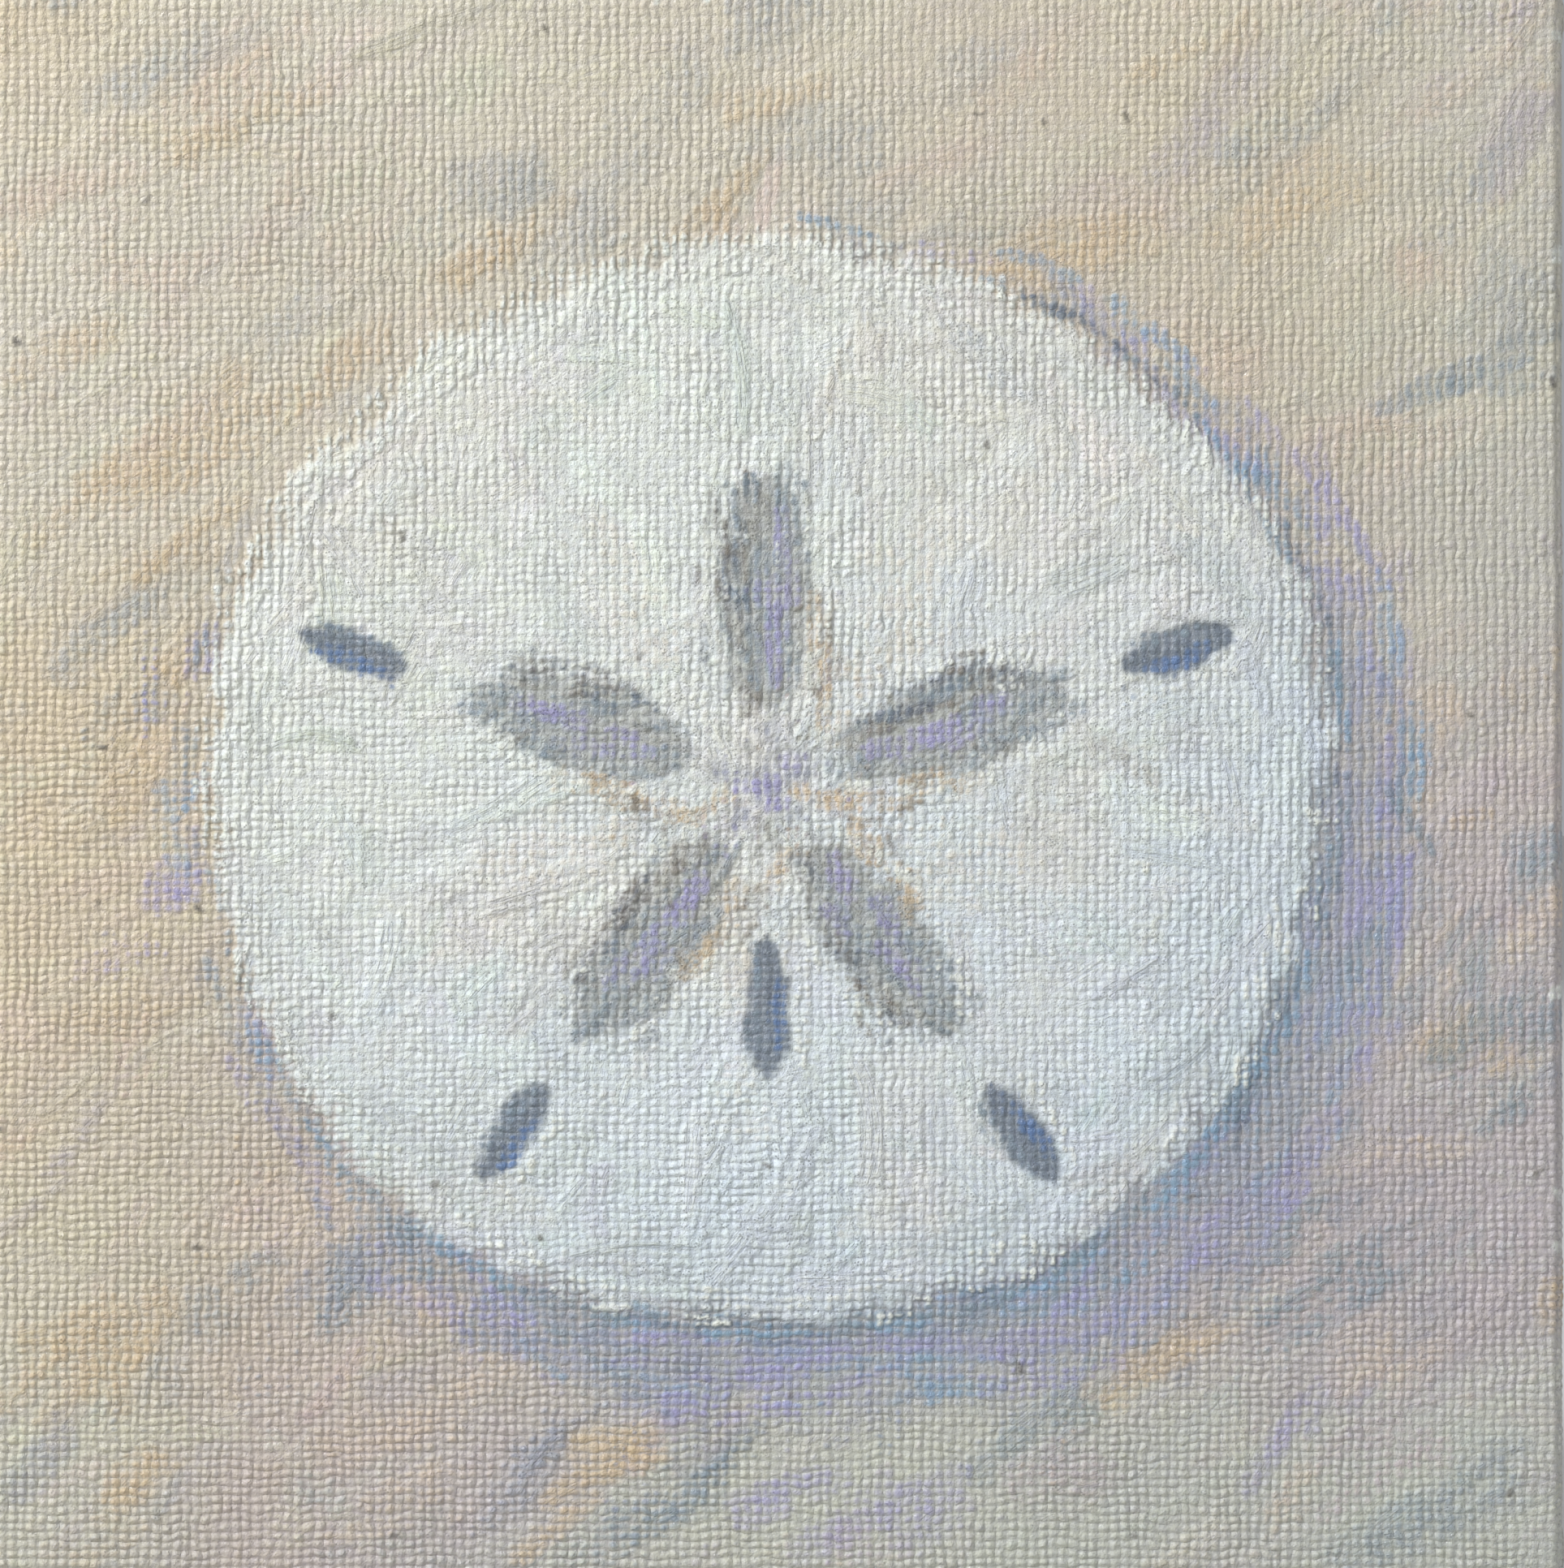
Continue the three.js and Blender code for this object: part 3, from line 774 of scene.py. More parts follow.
class Tree:
    """A short way to write a material's nodes."""

    def __init__(self, name):
        self.material = bpy.data.materials.new(name)
        self.material.use_nodes = True
        self.nodes, self.links = self.material.node_tree.nodes, self.material.node_tree.links
        self.shader = self.nodes["Principled BSDF"]

    def put(self, kind, inputs=(), out=0, **settings):
        """Adds a node, sets or links its inputs by name or number, gives an output."""
        node = self.nodes.new("ShaderNode" + kind)
        for key, value in settings.items():
            setattr(node, key, value)
        for key, value in dict(inputs).items():
            self.set(node.inputs[key], value)
        return node.outputs[out]

    def set(self, socket, value):
        """Links a socket to an output, or gives it a value."""
        if isinstance(value, bpy.types.NodeSocket):
            self.links.new(value, socket)
        else:
            socket.default_value = value

    def math(self, operation, a, b=0.0, c=0.0):
        return self.put("Math", {0: a, 1: b, 2: c}, operation=operation)

    def mix(self, factor, a, b, blend="MIX"):
        return self.put("Mix", {0: factor, 6: a, 7: b}, out=2, data_type="RGBA",
                        blend_type=blend)

    def remap(self, value, low, high, to_low=0.0, to_high=1.0):
        return self.put("MapRange", {0: value, 1: low, 2: high, 3: to_low, 4: to_high},
                        interpolation_type="SMOOTHSTEP")

    def attribute(self, name, out):
        return self.put("Attribute", out=out, attribute_name=name)

    def grain(self, vector, scale, detail=2.0, roughness=0.5):
        return self.put("TexNoise", {"Vector": vector, "Scale": scale, "Detail": detail,
                                     "Roughness": roughness})

    def weave(self, threads, faint=0.05, strong=0.8):
        """The cloth's height from the thread counts and lean, as Weave.height gives it but
        with flatter threads and narrower gaps. The knots run from faint to strong."""
        split = self.nodes.new("ShaderNodeSeparateXYZ")
        self.links.new(threads, split.inputs[0])
        across, up, lean = split.outputs
        ca = self.math("COSINE", self.math("MULTIPLY", across, math.pi))
        cu = self.math("COSINE", self.math("MULTIPLY", up, math.pi))
        over = self.math("MULTIPLY", ca, cu)
        warp_way, weft_way = self.math("ABSOLUTE", ca), self.math("ABSOLUTE", cu)
        warp = self.math("MULTIPLY", self.math("POWER", warp_way, 0.55),
                         self.math("ADD", lean, self.math("MULTIPLY_ADD", over, 0.16, 0.62)))
        weft = self.math("MULTIPLY", self.math("POWER", weft_way, 0.55),
                         self.math("SUBTRACT", self.math("MULTIPLY_ADD", over, -0.16, 0.58), lean))
        knot = self.math("POWER", self.math("MULTIPLY", warp_way, weft_way), 0.6)
        ridges = self.math("SMOOTH_MAX", warp, weft, 0.25)
        crossing = self.put("CombineXYZ", {0: self.math("ROUND", across), 1: self.math("ROUND", up)})
        luck = self.put("TexWhiteNoise", {"Vector": crossing}, noise_dimensions="2D")
        knot = self.math("MULTIPLY", knot, self.remap(luck, 0, 1, faint, strong))
        return self.math("ADD", self.math("MULTIPLY", ridges, 0.75), knot)


def paint_material():
    """Satin artist's paint over the weave: one colour on the threads and one between, bristle
    marks along each pull of the brush, and small lumps where it lies thick. The colour
    between the threads is a little darker: painted shade in the weave's hollows."""
    tree = Tree("brushed_paint")
    place = tree.put("TexCoord", out=3)
    height = tree.weave(tree.attribute("threads", 1))
    coat = tree.nodes.new("ShaderNodeSeparateXYZ")
    tree.links.new(tree.attribute("coat", 1), coat.inputs[0])
    film, body, seam = coat.outputs
    marks = tree.put("Mapping", {"Vector": tree.attribute("pull", 1), "Scale": (0.45, 4.5, 1.0)})
    bristle = tree.math("SUBTRACT", tree.grain(marks, 1.0, 3.0, 0.6), 0.5)
    bristle = tree.math("MULTIPLY_ADD", bristle, tree.remap(seam, 0, 1, 1.0, 0.0), 0.5)
    fine = tree.grain(place, 5000.0, 2.0, 0.7)
    lump = tree.grain(place, 2100.0, 3.0, 0.65)
    tooth = tree.math("ADD", height, tree.math("MULTIPLY", tree.math("SUBTRACT", lump, 0.5), 0.5))
    tooth = tree.math("ADD", tooth, tree.math("MULTIPLY", tree.math("SUBTRACT", bristle, 0.5), 0.4))
    share = tree.remap(tooth, 0.36, 0.66)
    # The paint between the threads is multiplied by a pale grey: painted shade in the hollows.
    under = tree.mix(1.0, tree.attribute("hollow_paint", 0), (0.94, 0.94, 0.95, 1), "MULTIPLY")
    colour = tree.mix(share, under, tree.attribute("top_paint", 0))
    split = tree.put("CombineColor", {
        0: tree.remap(bristle, 0.3, 0.7, 0.95, 1.05), 1: tree.remap(bristle, 0.3, 0.7, 0.96, 1.04),
        2: tree.remap(lump, 0.3, 0.7, 1.04, 0.96)})
    colour = tree.mix(1.0, colour, split, "MULTIPLY")
    tree.set(tree.shader.inputs["Base Color"], colour)
    tree.set(tree.shader.inputs["Roughness"], tree.remap(lump, 0.3, 0.7, 0.23, 0.46))
    lift = tree.math("MULTIPLY", height, film)
    lift = tree.math("ADD", lift, tree.math("MULTIPLY", bristle, tree.remap(body, 0, 1, 0.6, 3.2)))
    lift = tree.math("ADD", lift, tree.math("MULTIPLY", lump, tree.remap(body, 0, 1, 0.9, 2.0)))
    lift = tree.math("ADD", lift, tree.math("MULTIPLY", fine, 1.1))
    bump = tree.put("Bump", {"Strength": 1.0, "Distance": 0.0001, "Height": lift})
    tree.set(tree.shader.inputs["Normal"], bump)
    return tree.material


def cloth_material():
    """Primed cotton: raw inside, white outside, and brushed along the sides with the
    ground's paint, whose edge drags out in dry streaks towards the back. Cloth and paint
    are darker between the threads: painted shade in the weave's hollows."""
    tree = Tree("primed_cotton")
    place = tree.put("TexCoord", out=3)
    threads = tree.attribute("threads", 1)
    height = tree.weave(threads, 0.3, 0.5)
    speck = tree.grain(place, 1800.0, 3.0)
    fine = tree.grain(place, 9000.0, 2.0)
    slub = tree.math("MULTIPLY", *(
        tree.remap(tree.grain(tree.put("Mapping", {"Vector": threads, "Scale": stretch}), 1.0, 2.0),
                   0.3, 0.7, 0.88, 1.08) for stretch in ((0.1, 1.3, 1.0), (1.3, 0.1, 1.0))))
    # Raw and primed cotton run from dark in the hollows to light on the threads: painted shade
    # between the threads.
    raw = tree.mix(tree.remap(height, 0.25, 0.8), (0.42, 0.34, 0.23, 1), (0.64, 0.56, 0.42, 1))
    raw = tree.mix(1.0, raw, tree.put("CombineColor", {0: slub, 1: slub, 2: slub}), "MULTIPLY")
    primed = tree.mix(tree.remap(height, 0.2, 0.8), (0.54, 0.53, 0.49, 1), (0.66, 0.65, 0.61, 1))
    colour = tree.mix(tree.attribute("primed", 2), raw, primed)
    streak = tree.grain(tree.put("Mapping", {"Vector": tree.attribute("drag", 1),
                                             "Scale": (0.7, 0.09, 1.0)}), 1.0, 5.0, 0.7)
    reach = tree.math("MULTIPLY_ADD", tree.math("SUBTRACT", streak, 0.5), 1.5,
                      tree.attribute("side", 2))
    reach = tree.math("MULTIPLY_ADD", tree.math("SUBTRACT", height, 0.5), 0.22, reach)
    # tint darkens the sides' paint between the threads, a painted shade in the hollows, and varies it
    # along the dry streaks.
    tint = tree.math("MULTIPLY", tree.remap(height, 0.15, 0.85, 0.80, 1.05),
                     tree.remap(streak, 0.3, 0.7, 0.9, 1.07))
    painted = tree.mix(1.0, tree.attribute("ground_paint", 0),
                       tree.put("CombineColor", {0: tint, 1: tint, 2: tint}), "MULTIPLY")
    colour = tree.mix(tree.remap(reach, 0.42, 0.56), colour, painted)
    shade = tree.remap(speck, 0.25, 0.75, 0.9, 1.06)
    colour = tree.mix(1.0, colour, tree.put("CombineColor", {0: shade, 1: shade, 2: shade}),
                      "MULTIPLY")
    tree.set(tree.shader.inputs["Base Color"], colour)
    tree.set(tree.shader.inputs["Roughness"], tree.remap(speck, 0.3, 0.7, 0.62, 0.85))
    lift = tree.math("ADD", height, tree.math("MULTIPLY", fine, 0.25))
    bump = tree.put("Bump", {"Strength": 1.0, "Distance": 0.00024, "Height": lift})
    tree.set(tree.shader.inputs["Normal"], bump)
    return tree.material


def thread_material():
    """Raw cotton thread, paler where it is worn fluffy."""
    tree = Tree("raw_thread")
    place = tree.put("TexCoord", out=3)
    fluff = tree.grain(place, 2600.0, 3.0, 0.65)
    tree.set(tree.shader.inputs["Base Color"],
             tree.mix(tree.remap(fluff, 0.3, 0.7), (0.5, 0.42, 0.3, 1), (0.72, 0.65, 0.52, 1)))
    tree.set(tree.shader.inputs["Roughness"], tree.remap(fluff, 0.3, 0.7, 0.75, 0.92))
    bump = tree.put("Bump", {"Strength": 0.5, "Distance": 0.00006, "Height": fluff})
    tree.set(tree.shader.inputs["Normal"], bump)
    return tree.material


def pine_material():
    """Planed pine: early and late wood in long bands along the bar, with fine pores."""
    tree = Tree("planed_pine")
    grain = tree.attribute("grain", 1)
    wide = tree.put("Mapping", {"Vector": grain, "Scale": (0.02, 1.0, 1.0)})
    drift = tree.grain(wide, 180.0, 2.0)
    rings = tree.math("SINE", tree.math("MULTIPLY", drift, 42.0))
    band = tree.remap(rings, -0.2, 1.0)
    pores = tree.grain(tree.put("Mapping", {"Vector": grain, "Scale": (0.05, 1.0, 1.0)}),
                       2600.0, 3.0, 0.6)
    colour = tree.mix(band, (0.74, 0.55, 0.32, 1), (0.52, 0.32, 0.15, 1))
    colour = tree.mix(tree.remap(pores, 0.35, 0.75, 0.0, 0.35), colour, (0.36, 0.22, 0.11, 1))
    tree.set(tree.shader.inputs["Base Color"], colour)
    tree.set(tree.shader.inputs["Roughness"], tree.remap(pores, 0.3, 0.7, 0.55, 0.8))
    lift = tree.math("ADD", tree.math("MULTIPLY", band, 0.4), pores)
    bump = tree.put("Bump", {"Strength": 0.35, "Distance": 0.00012, "Height": lift})
    tree.set(tree.shader.inputs["Normal"], bump)
    return tree.material


def wire_material():
    """Zinc-plated flat wire, with drawn lines and dull patches."""
    tree = Tree("zinc_wire")
    place = tree.put("TexCoord", out=3)
    dull = tree.grain(place, 700.0, 3.0)
    lines = tree.grain(place, 12000.0, 2.0)
    tree.set(tree.shader.inputs["Base Color"],
             tree.mix(tree.remap(dull, 0.4, 0.7), (0.66, 0.67, 0.69, 1), (0.5, 0.5, 0.5, 1)))
    tree.shader.inputs["Metallic"].default_value = 1.0
    tree.set(tree.shader.inputs["Roughness"], tree.remap(dull, 0.3, 0.7, 0.18, 0.38))
    bump = tree.put("Bump", {"Strength": 0.15, "Distance": 0.00005, "Height": lines})
    tree.set(tree.shader.inputs["Normal"], bump)
    return tree.material


# -------------------------------------------------------------------------------- pieces


def finish_piece(piece, material, nodes=()):
    """Gives a piece its material and its place in the frame."""
    piece.data.materials.append(material)
    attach(piece, BODY)
    if nodes:
        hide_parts(*nodes)
    return piece


def relief_normals(weave, s, t, out, rise, coat):
    """Normals of the painted face: the outward normal tipped against the slope of the
    weave, taken over a short step each way, and of the coat of paint, taken on the grid."""
    step = 0.05
    grid = s[0, 1] - s[0, 0]
    coat_up, coat_along = (np.clip(slope, -0.5, 0.5) for slope in np.gradient(coat, grid))
    along = (weave.tooth(s + step, t) - weave.tooth(s - step, t)) / (2 * step) * rise + coat_along
    up = (weave.tooth(s, t + step) - weave.tooth(s, t - step)) / (2 * step) * rise + coat_up
    ahead = np.stack([-out[..., 1], out[..., 0], 0 * s], -1)
    above = np.stack([0 * s, out[..., 2], -out[..., 1]], -1)
    n = out - ahead * along[..., None] - above * up[..., None]
    return (n / np.linalg.norm(n, axis=-1, keepdims=True)).reshape(-1, 3)


class PAINTING_OT_picture(bpy.types.Operator):
    """Lay the paint: a relief of threads and strokes over the front and its edges"""

    bl_idname = "painting.picture"
    bl_label = "Paint"

    def execute(self, context):
        cloth = context.scene.painting_cloth
        weave = Weave(cloth)
        count = int(round(2 * (FLAT + ARC) / (cloth.grid / MM)))
        axis = np.linspace(-FLAT - ARC, FLAT + ARC, count + 1)
        s, t = np.meshgrid(axis, axis)
        tooth = weave.tooth(s, t)
        picture = Picture(axis, tooth, cloth.seed + 20)
        inside = paint_picture(picture, context.scene.painting_palette).ravel()
        worn = 0.22 * noise(s, t, 2.6, cloth.seed + 9) - 0.22 * (0.5 * s + t) / HALF
        film = np.clip(0.92 - 0.6 * picture.body + worn, 0.22, 1.2)
        relief = cloth.relief / MM
        coat = COAT * picture.body
        level = relief * tooth * film + coat
        rim = ease(0, 0.5, FLAT + ARC - np.maximum(np.abs(s), np.abs(t)))
        place, out = wrap(s, t)
        points = (place + out * (level * rim - 0.1 * (1 - rim))[..., None]).reshape(-1, 3)
        normals = relief_normals(weave, s, t, out, relief * film * rim, coat)
        quads = grid_quads(len(axis), len(axis))
        middle = quads[:, 0]
        attributes = {
            "top_paint": picture.tops.reshape(-1, 3),
            "hollow_paint": picture.hollows.reshape(-1, 3),
            "threads": np.stack([*weave.threads(s, t), weave.lean(s, t)], -1).reshape(-1, 3),
            "coat": np.stack([film, picture.body, picture.seams()], -1).reshape(-1, 3),
            "pull": picture.pull.reshape(-1, 3),
        }
        shell = inside[middle] > 0
        right, upper = s.ravel()[middle] > 0, t.ravel()[middle] > 0
        passages = {
            "paint_shell_left": shell & ~right,
            "paint_shell_right": shell & right,
            "paint_sand_upper_left": ~shell & upper & ~right,
            "paint_sand_upper_right": ~shell & upper & right,
            "paint_sand_lower_left": ~shell & ~upper & ~right,
            "paint_sand_lower_right": ~shell & ~upper & right,
        }
        material = paint_material()
        for name, chosen in passages.items():
            used, again = np.unique(quads[chosen], return_inverse=True)
            piece = build_mesh(
                name, points[used], again.reshape(-1, 4),
                {key: values[used] for key, values in attributes.items()}, normals[used])
            finish_piece(piece, material)
        return {"FINISHED"}


def cloth_axis():
    """Lengths along the cloth from its middle, closer together near the corners."""
    fine = np.linspace(0, CORNER_ZONE, 43)
    reach = FLAT + ARC
    coarse = np.linspace(-reach + CORNER_ZONE, reach - CORNER_ZONE, 49)[1:-1]
    return np.concatenate([-reach + fine, coarse, reach - fine[::-1]])


def rim_loop(count):
    """The outer points of a square grid of count by count points, in order round it."""
    side = np.arange(count - 1)
    return np.concatenate([
        side, side * count + count - 1, count * count - 1 - side,
        (count - 1 - side) * count,
    ])


def ear_lift(depth, up):
    """Lift of the spare cloth on a side: the ear fills the corner above a slanting line
    from the front corner to EAR_LENGTH along the back edge."""
    share = np.clip(depth / (BACK - FRONT - TURN), 0, 1)
    line = HALF - BACK_TURN - share * (EAR_LENGTH - BACK_TURN)
    return EAR_LIFT * ease(-0.25, 0.35, np.abs(up) - line) * ease(0, 0.15, share)


def fold_lift(x, z):
    """Lift of the folded corner on the back: the half of the corner's square that lies
    along the side, over a slanting edge from the outer corner to the margin's corner."""
    from_side, from_top = HALF - np.abs(x), HALF - np.abs(z)
    return FOLD_LIFT * ease(-0.1, 0.45, from_top - from_side) * ease(-0.3, 0.2, MARGIN - from_top)


def cloth_rows(edge, edge_out, sideways, ls, lt):
    """The rows of points behind the front edge, each as (points, outward directions, lift,
    length along the cloth past the front, and 1 on the back, else 0): straight along the
    sides, round a quarter turn onto the back, and in over the margin to its ragged edge."""
    rows = []
    depth = BACK - BACK_TURN - FRONT - TURN
    for d in np.linspace(0, depth, 27)[1:]:
        lift = np.where(sideways, ear_lift(d, edge[:, 2] - HALF), 0.0)
        rows.append((edge + np.array([0, d, 0]), edge_out, lift, d, 0.0))
    steps = 5
    for i in range(1, steps + 1):
        angle = i / steps * math.pi / 2
        inset = BACK_TURN * (1 - math.cos(angle))
        point = edge - edge_out * inset + np.array([0, depth + BACK_TURN * math.sin(angle), 0])
        out = edge_out * math.cos(angle) + np.array([0, math.sin(angle), 0])
        ear = np.where(sideways, ear_lift(depth, edge[:, 2] - HALF), 0.0) * math.cos(angle)
        fold = fold_lift(point[:, 0], point[:, 2] - HALF) * math.sin(angle)
        rows.append((point, out, ear + fold, depth + BACK_TURN * angle, 0.0))
    brim = rows[-1][0]
    out = np.tile([0.0, 1.0, 0.0], (len(edge), 1))
    wide = MARGIN - BACK_TURN
    ragged_x, ragged_z = noise(ls, lt, 3.0, 51) / 40, noise(ls, lt, 2.0, 52) / 40
    for inset in np.linspace(0, wide, 29)[1:]:
        shrink = 1 - inset / (HALF - BACK_TURN)
        ragged = 0.35 * ease(0.8, 1, inset / wide)
        point = brim.copy()
        point[:, 0] *= shrink * (1 - ragged * ragged_x)
        point[:, 2] = HALF + (point[:, 2] - HALF) * shrink * (1 - ragged * ragged_z)
        lift = fold_lift(point[:, 0], point[:, 2] - HALF)
        lift = lift + 0.12 * noise(point[:, 0], point[:, 2], 5.0, 53) + 0.1
        lift = lift * ease(0, 1.5, inset)
        rows.append((point, out, lift, depth + BACK_TURN * math.pi / 2 + inset, 1.0))
    return rows


def cloth_faces(count, loop, bands):
    """Quads of the cloth's outer skin, of its inner one facing the other way, and of the
    cut edge that joins them. The face is a grid, and each band hangs on the one before."""
    quads, last = [grid_quads(count, count)], loop
    for k in range(bands):
        new = count * count + k * len(loop) + np.arange(len(loop))
        quads.append(np.stack([last, new, np.roll(new, -1), np.roll(last, -1)], 1))
        last = new
    quads = np.concatenate(quads)
    total = count * count + bands * len(loop)
    rim = np.stack([last, last + total, np.roll(last, -1) + total, np.roll(last, -1)], 1)
    return np.concatenate([quads, quads[:, ::-1] + total, rim])


class PAINTING_OT_cloth(bpy.types.Operator):
    """Wrap the primed cloth over the bars and turn its margin onto the back"""

    bl_idname = "painting.cloth"
    bl_label = "Cloth"

    def execute(self, context):
        weave = Weave(context.scene.painting_cloth)
        axis = cloth_axis()
        count = len(axis)
        s, t = np.meshgrid(axis, axis)
        face, face_out = (a.reshape(-1, 3) for a in wrap(s, t))
        loop = rim_loop(count)
        edge, edge_out = face[loop], face_out[loop]
        ls, lt = s.ravel()[loop], t.ravel()[loop]
        sideways = np.abs(edge_out[:, 0]) >= np.abs(edge_out[:, 2])
        rows = cloth_rows(edge, edge_out, sideways, ls, lt)
        outer = [face - face_out * TUCK]
        inner = [face - face_out * CLOTH]
        far = np.maximum(np.abs(ls), np.abs(lt))
        thread_s, thread_t, side = [s.ravel()], [t.ravel()], [np.ones(count * count)]
        for point, out, lift, along, on_back in rows:
            sunk = 0 if on_back else TUCK * (1 - along / 30)
            outer.append(point + out * (lift - sunk)[:, None])
            inner.append(point - out * CLOTH + out * (lift * (on_back * 0.35))[:, None])
            thread_s.append(np.where(sideways, np.sign(ls) * (far + along), ls))
            thread_t.append(np.where(sideways, lt, np.sign(lt) * (far + along)))
            side.append(np.full(len(loop), (1 - along / SIDE_PAINT) * (1 - on_back)))
        outer, inner = np.concatenate(outer), np.concatenate(inner)
        bare, side = np.zeros(len(outer)), np.concatenate(side)
        on_cloth = np.concatenate(thread_s), np.concatenate(thread_t)
        threads = np.stack([*weave.threads(*on_cloth), weave.lean(*on_cloth)], 1)
        edge_s, edge_t = (np.clip(a, -HALF, HALF) for a in on_cloth)
        ground = ground_colour(edge_s, edge_t, swatches(context.scene.painting_palette))
        across, up = on_cloth
        round_edge = np.where(np.abs(across) > np.abs(up), up + 200 * np.sign(across),
                              across + 400 * np.sign(up))
        drag = np.stack([round_edge, SIDE_PAINT * side, bare], 1)
        piece = build_mesh(
            "cloth", np.concatenate([outer, inner]), cloth_faces(count, loop, len(rows)), {
                "threads": np.tile(threads, (2, 1)),
                "primed": np.concatenate([bare + 1, bare]),
                "side": np.concatenate([side, bare]),
                "drag": np.tile(drag, (2, 1)),
                "ground_paint": np.tile(ground, (2, 1)),
            })
        finish_piece(piece, cloth_material(), ["canvas"])
        return {"FINISHED"}


class PAINTING_OT_thread_ends(bpy.types.Operator):
    """Fray the cut edge of the margin with short loose ends of thread"""

    bl_idname = "painting.thread_ends"
    bl_label = "Thread ends"

    def execute(self, context):
        """Each end is a tube of four sides on a path that leaves the cut edge, sags
        sideways with the square of the distance, and stands off the back by a sine."""
        cloth = context.scene.painting_cloth
        rng = np.random.default_rng(cloth.seed + 60)
        reach = HALF - MARGIN
        per_side = int(2 * reach / (0.5 * cloth.warp_pitch / MM))
        at = np.tile(np.linspace(-reach, reach, per_side), 4)
        turn = np.repeat(np.arange(4) * math.pi / 2, per_side)
        at = at + rng.normal(0, 0.12, at.size)
        long = rng.gamma(2.0, 0.42, at.size) + 0.3
        lean, stand = rng.normal(0, 0.5, at.size), rng.uniform(0.0, 0.35, at.size)
        rings, sides, radius = 6, 4, 0.10
        f = np.linspace(0, 1, rings)[None, :]
        inward = reach + 0.5 - (long[:, None] + 0.5) * f
        across = at[:, None] + lean[:, None] * long[:, None] * f ** 2
        off = -0.12 + stand[:, None] * np.sin(math.pi * 0.8 * f)
        corner = (np.arange(sides) * math.pi / 2)[None, None, :]
        thick = (radius * (1 - 0.6 * f) * np.ones((at.size, 1)))[..., None]
        across = across[..., None] + thick * np.cos(corner)
        off = off[..., None] + thick * np.sin(corner)
        inward = inward[..., None] + 0 * corner
        c, n = np.cos(turn)[:, None, None], np.sin(turn)[:, None, None]
        points = np.stack([inward * c - across * n, BACK + off, inward * n + across * c + HALF], -1)
        ring = np.arange(sides)
        first = np.arange(rings - 1)[:, None] * sides
        here, after = first + ring, first + (ring + 1) % sides
        tube = np.stack([here, after, after + sides, here + sides], -1).reshape(-1, 4)
        caps = np.stack([ring[::-1], ring + (rings - 1) * sides])
        one = np.concatenate([tube, caps])
        apart = np.arange(at.size)[:, None, None] * rings * sides
        quads = (one[None] + apart).reshape(-1, 4)
        piece = build_mesh("thread_ends", points.reshape(-1, 3), quads)
        finish_piece(piece, thread_material())
        return {"FINISHED"}


class PAINTING_OT_frame(bpy.types.Operator):
    """Give the bars and the staples their wood and wire"""

    bl_idname = "painting.frame"
    bl_label = "Bars and staples"

    def execute(self, context):
        pine, wire = pine_material(), wire_material()
        for name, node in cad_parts.items():
            if name.startswith("bar_"):
                co = np.zeros(len(node.data.vertices) * 3)
                node.data.vertices.foreach_get("co", co)
                co = co.reshape(-1, 3)
                if name in ("bar_left", "bar_right"):
                    co = co[:, [2, 1, 0]]
                shift = sum(map(ord, name)) * 0.013
                grain = node.data.attributes.new("grain", "FLOAT_VECTOR", "POINT")
                grain.data.foreach_set("vector", (co + shift).astype(np.float32).ravel())
                material = pine
            elif "staple" in name:
                material = wire
            else:
                continue
            node.data.materials.clear()
            node.data.materials.append(material)
        return {"FINISHED"}


def soft_light(name, place, target, size, power, tint=(1, 1, 1)):
    """A square area light at a place, turned to face a target."""
    lamp = bpy.data.lights.new(name, "AREA")
    lamp.size, lamp.energy, lamp.color = size, power, tint
    light = bpy.data.objects.new(name, lamp)
    light.location = place
    light.rotation_euler = (Vector(target) - Vector(place)).to_track_quat("-Z", "Y").to_euler()
    bpy.context.collection.objects.link(light)


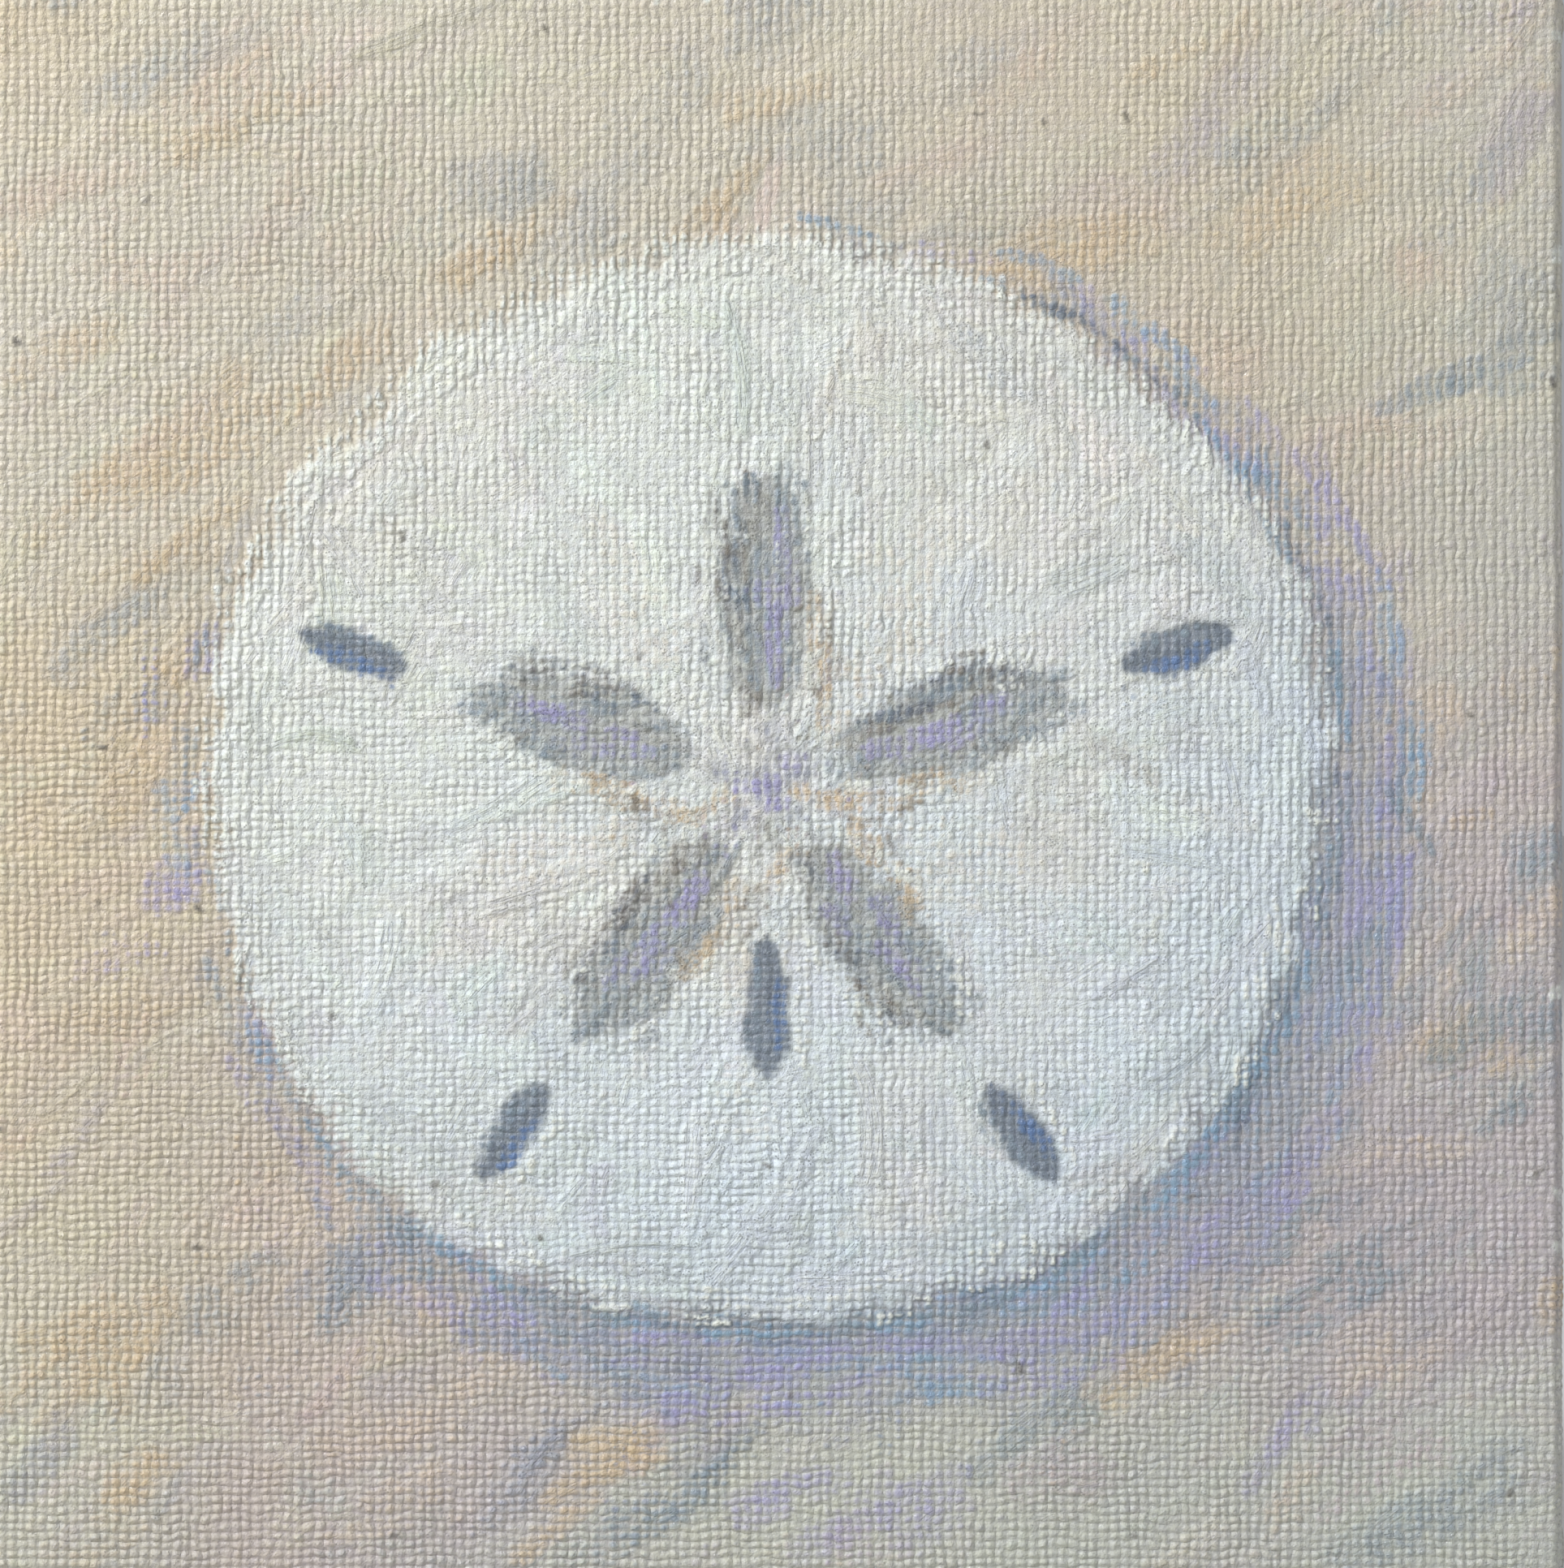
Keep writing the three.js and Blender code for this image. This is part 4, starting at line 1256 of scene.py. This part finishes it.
class PAINTING_OT_stage(bpy.types.Operator):
    """Set a pale floor, soft window light from the upper left, and the camera"""

    bl_idname = "painting.stage"
    bl_label = "Stage"

    def execute(self, context):
        stage = context.scene.painting_stage
        reach = 6000.0
        x, y = np.meshgrid((-reach, 0.0, reach), (-reach, 0.0, reach))
        floor = build_mesh("floor", np.stack([x, y, 0 * x], -1).reshape(-1, 3), grid_quads(3, 3))
        tree = Tree("pale_floor")
        tree.shader.inputs["Base Color"].default_value = (0.68, 0.67, 0.65, 1)
        tree.shader.inputs["Roughness"].default_value = 0.7
        floor.data.materials.append(tree.material)
        middle = (0, FRONT * MM, HALF * MM)
        soft_light("window", (-0.66, -0.48, 0.66), middle, 0.26, stage.key_power, (0.955, 0.985, 1.0))
        soft_light("room", (0.9, -0.8, 0.40), middle, 0.9, stage.fill_power, (0.93, 0.96, 1.0))
        soft_light("behind", (0.4, 0.9, 0.6), middle, 0.6, stage.fill_power * 1.5)
        world = bpy.data.worlds.new("pale_room")
        world.use_nodes = True
        sky = world.node_tree.nodes["Background"]
        sky.inputs["Color"].default_value = (0.90, 0.94, 1.0, 1)
        sky.inputs["Strength"].default_value = stage.sky
        context.scene.world = world
        lens = bpy.data.cameras.new("camera")
        lens.sensor_fit = "VERTICAL"
        lens.sensor_height = 24.0
        view_height = 100.1 * MM     # a little less than the face, whose edges lie outside
        aside = 0.93 * MM            # so that the turn at the right edge shows
        lens.lens = lens.sensor_height * stage.distance / view_height
        camera = bpy.data.objects.new("camera", lens)
        camera.location = (aside, FRONT * MM - stage.distance, HALF * MM)
        camera.rotation_euler = (math.pi / 2, 0, 0)
        context.collection.objects.link(camera)
        context.scene.camera = camera
        context.scene.view_settings.view_transform = "Standard"
        return {"FINISHED"}


class PAINTING_PT_panel(bpy.types.Panel):
    """Everything that makes the painting"""

    bl_idname = "PAINTING_PT_panel"
    bl_label = "Canvas"
    bl_space_type = "VIEW_3D"
    bl_region_type = "UI"
    bl_category = "Canvas"

    def draw(self, context):
        for operator in OPERATORS:
            self.layout.operator(operator.bl_idname)
        for group in ("painting_cloth", "painting_palette", "painting_stage"):
            settings = getattr(context.scene, group)
            for name in settings.__annotations__:
                self.layout.prop(settings, name)


OPERATORS = (PAINTING_OT_stage, PAINTING_OT_picture, PAINTING_OT_thread_ends,
             PAINTING_OT_cloth, PAINTING_OT_frame)
CLASSES = (ClothSettings, PaletteSettings, StageSettings, *OPERATORS, PAINTING_PT_panel)


def register():
    for each in CLASSES:
        bpy.utils.register_class(each)
    bpy.types.Scene.painting_cloth = bpy.props.PointerProperty(type=ClothSettings)
    bpy.types.Scene.painting_palette = bpy.props.PointerProperty(type=PaletteSettings)
    bpy.types.Scene.painting_stage = bpy.props.PointerProperty(type=StageSettings)


def unregister():
    for name in ("painting_cloth", "painting_palette", "painting_stage"):
        delattr(bpy.types.Scene, name)
    for each in reversed(CLASSES):
        bpy.utils.unregister_class(each)


def main():
    """Makes every piece."""
    register()
    for operator in OPERATORS:
        group, name = operator.bl_idname.split(".")
        getattr(getattr(bpy.ops, group), name)()


if __name__ == "__main__":
    main()
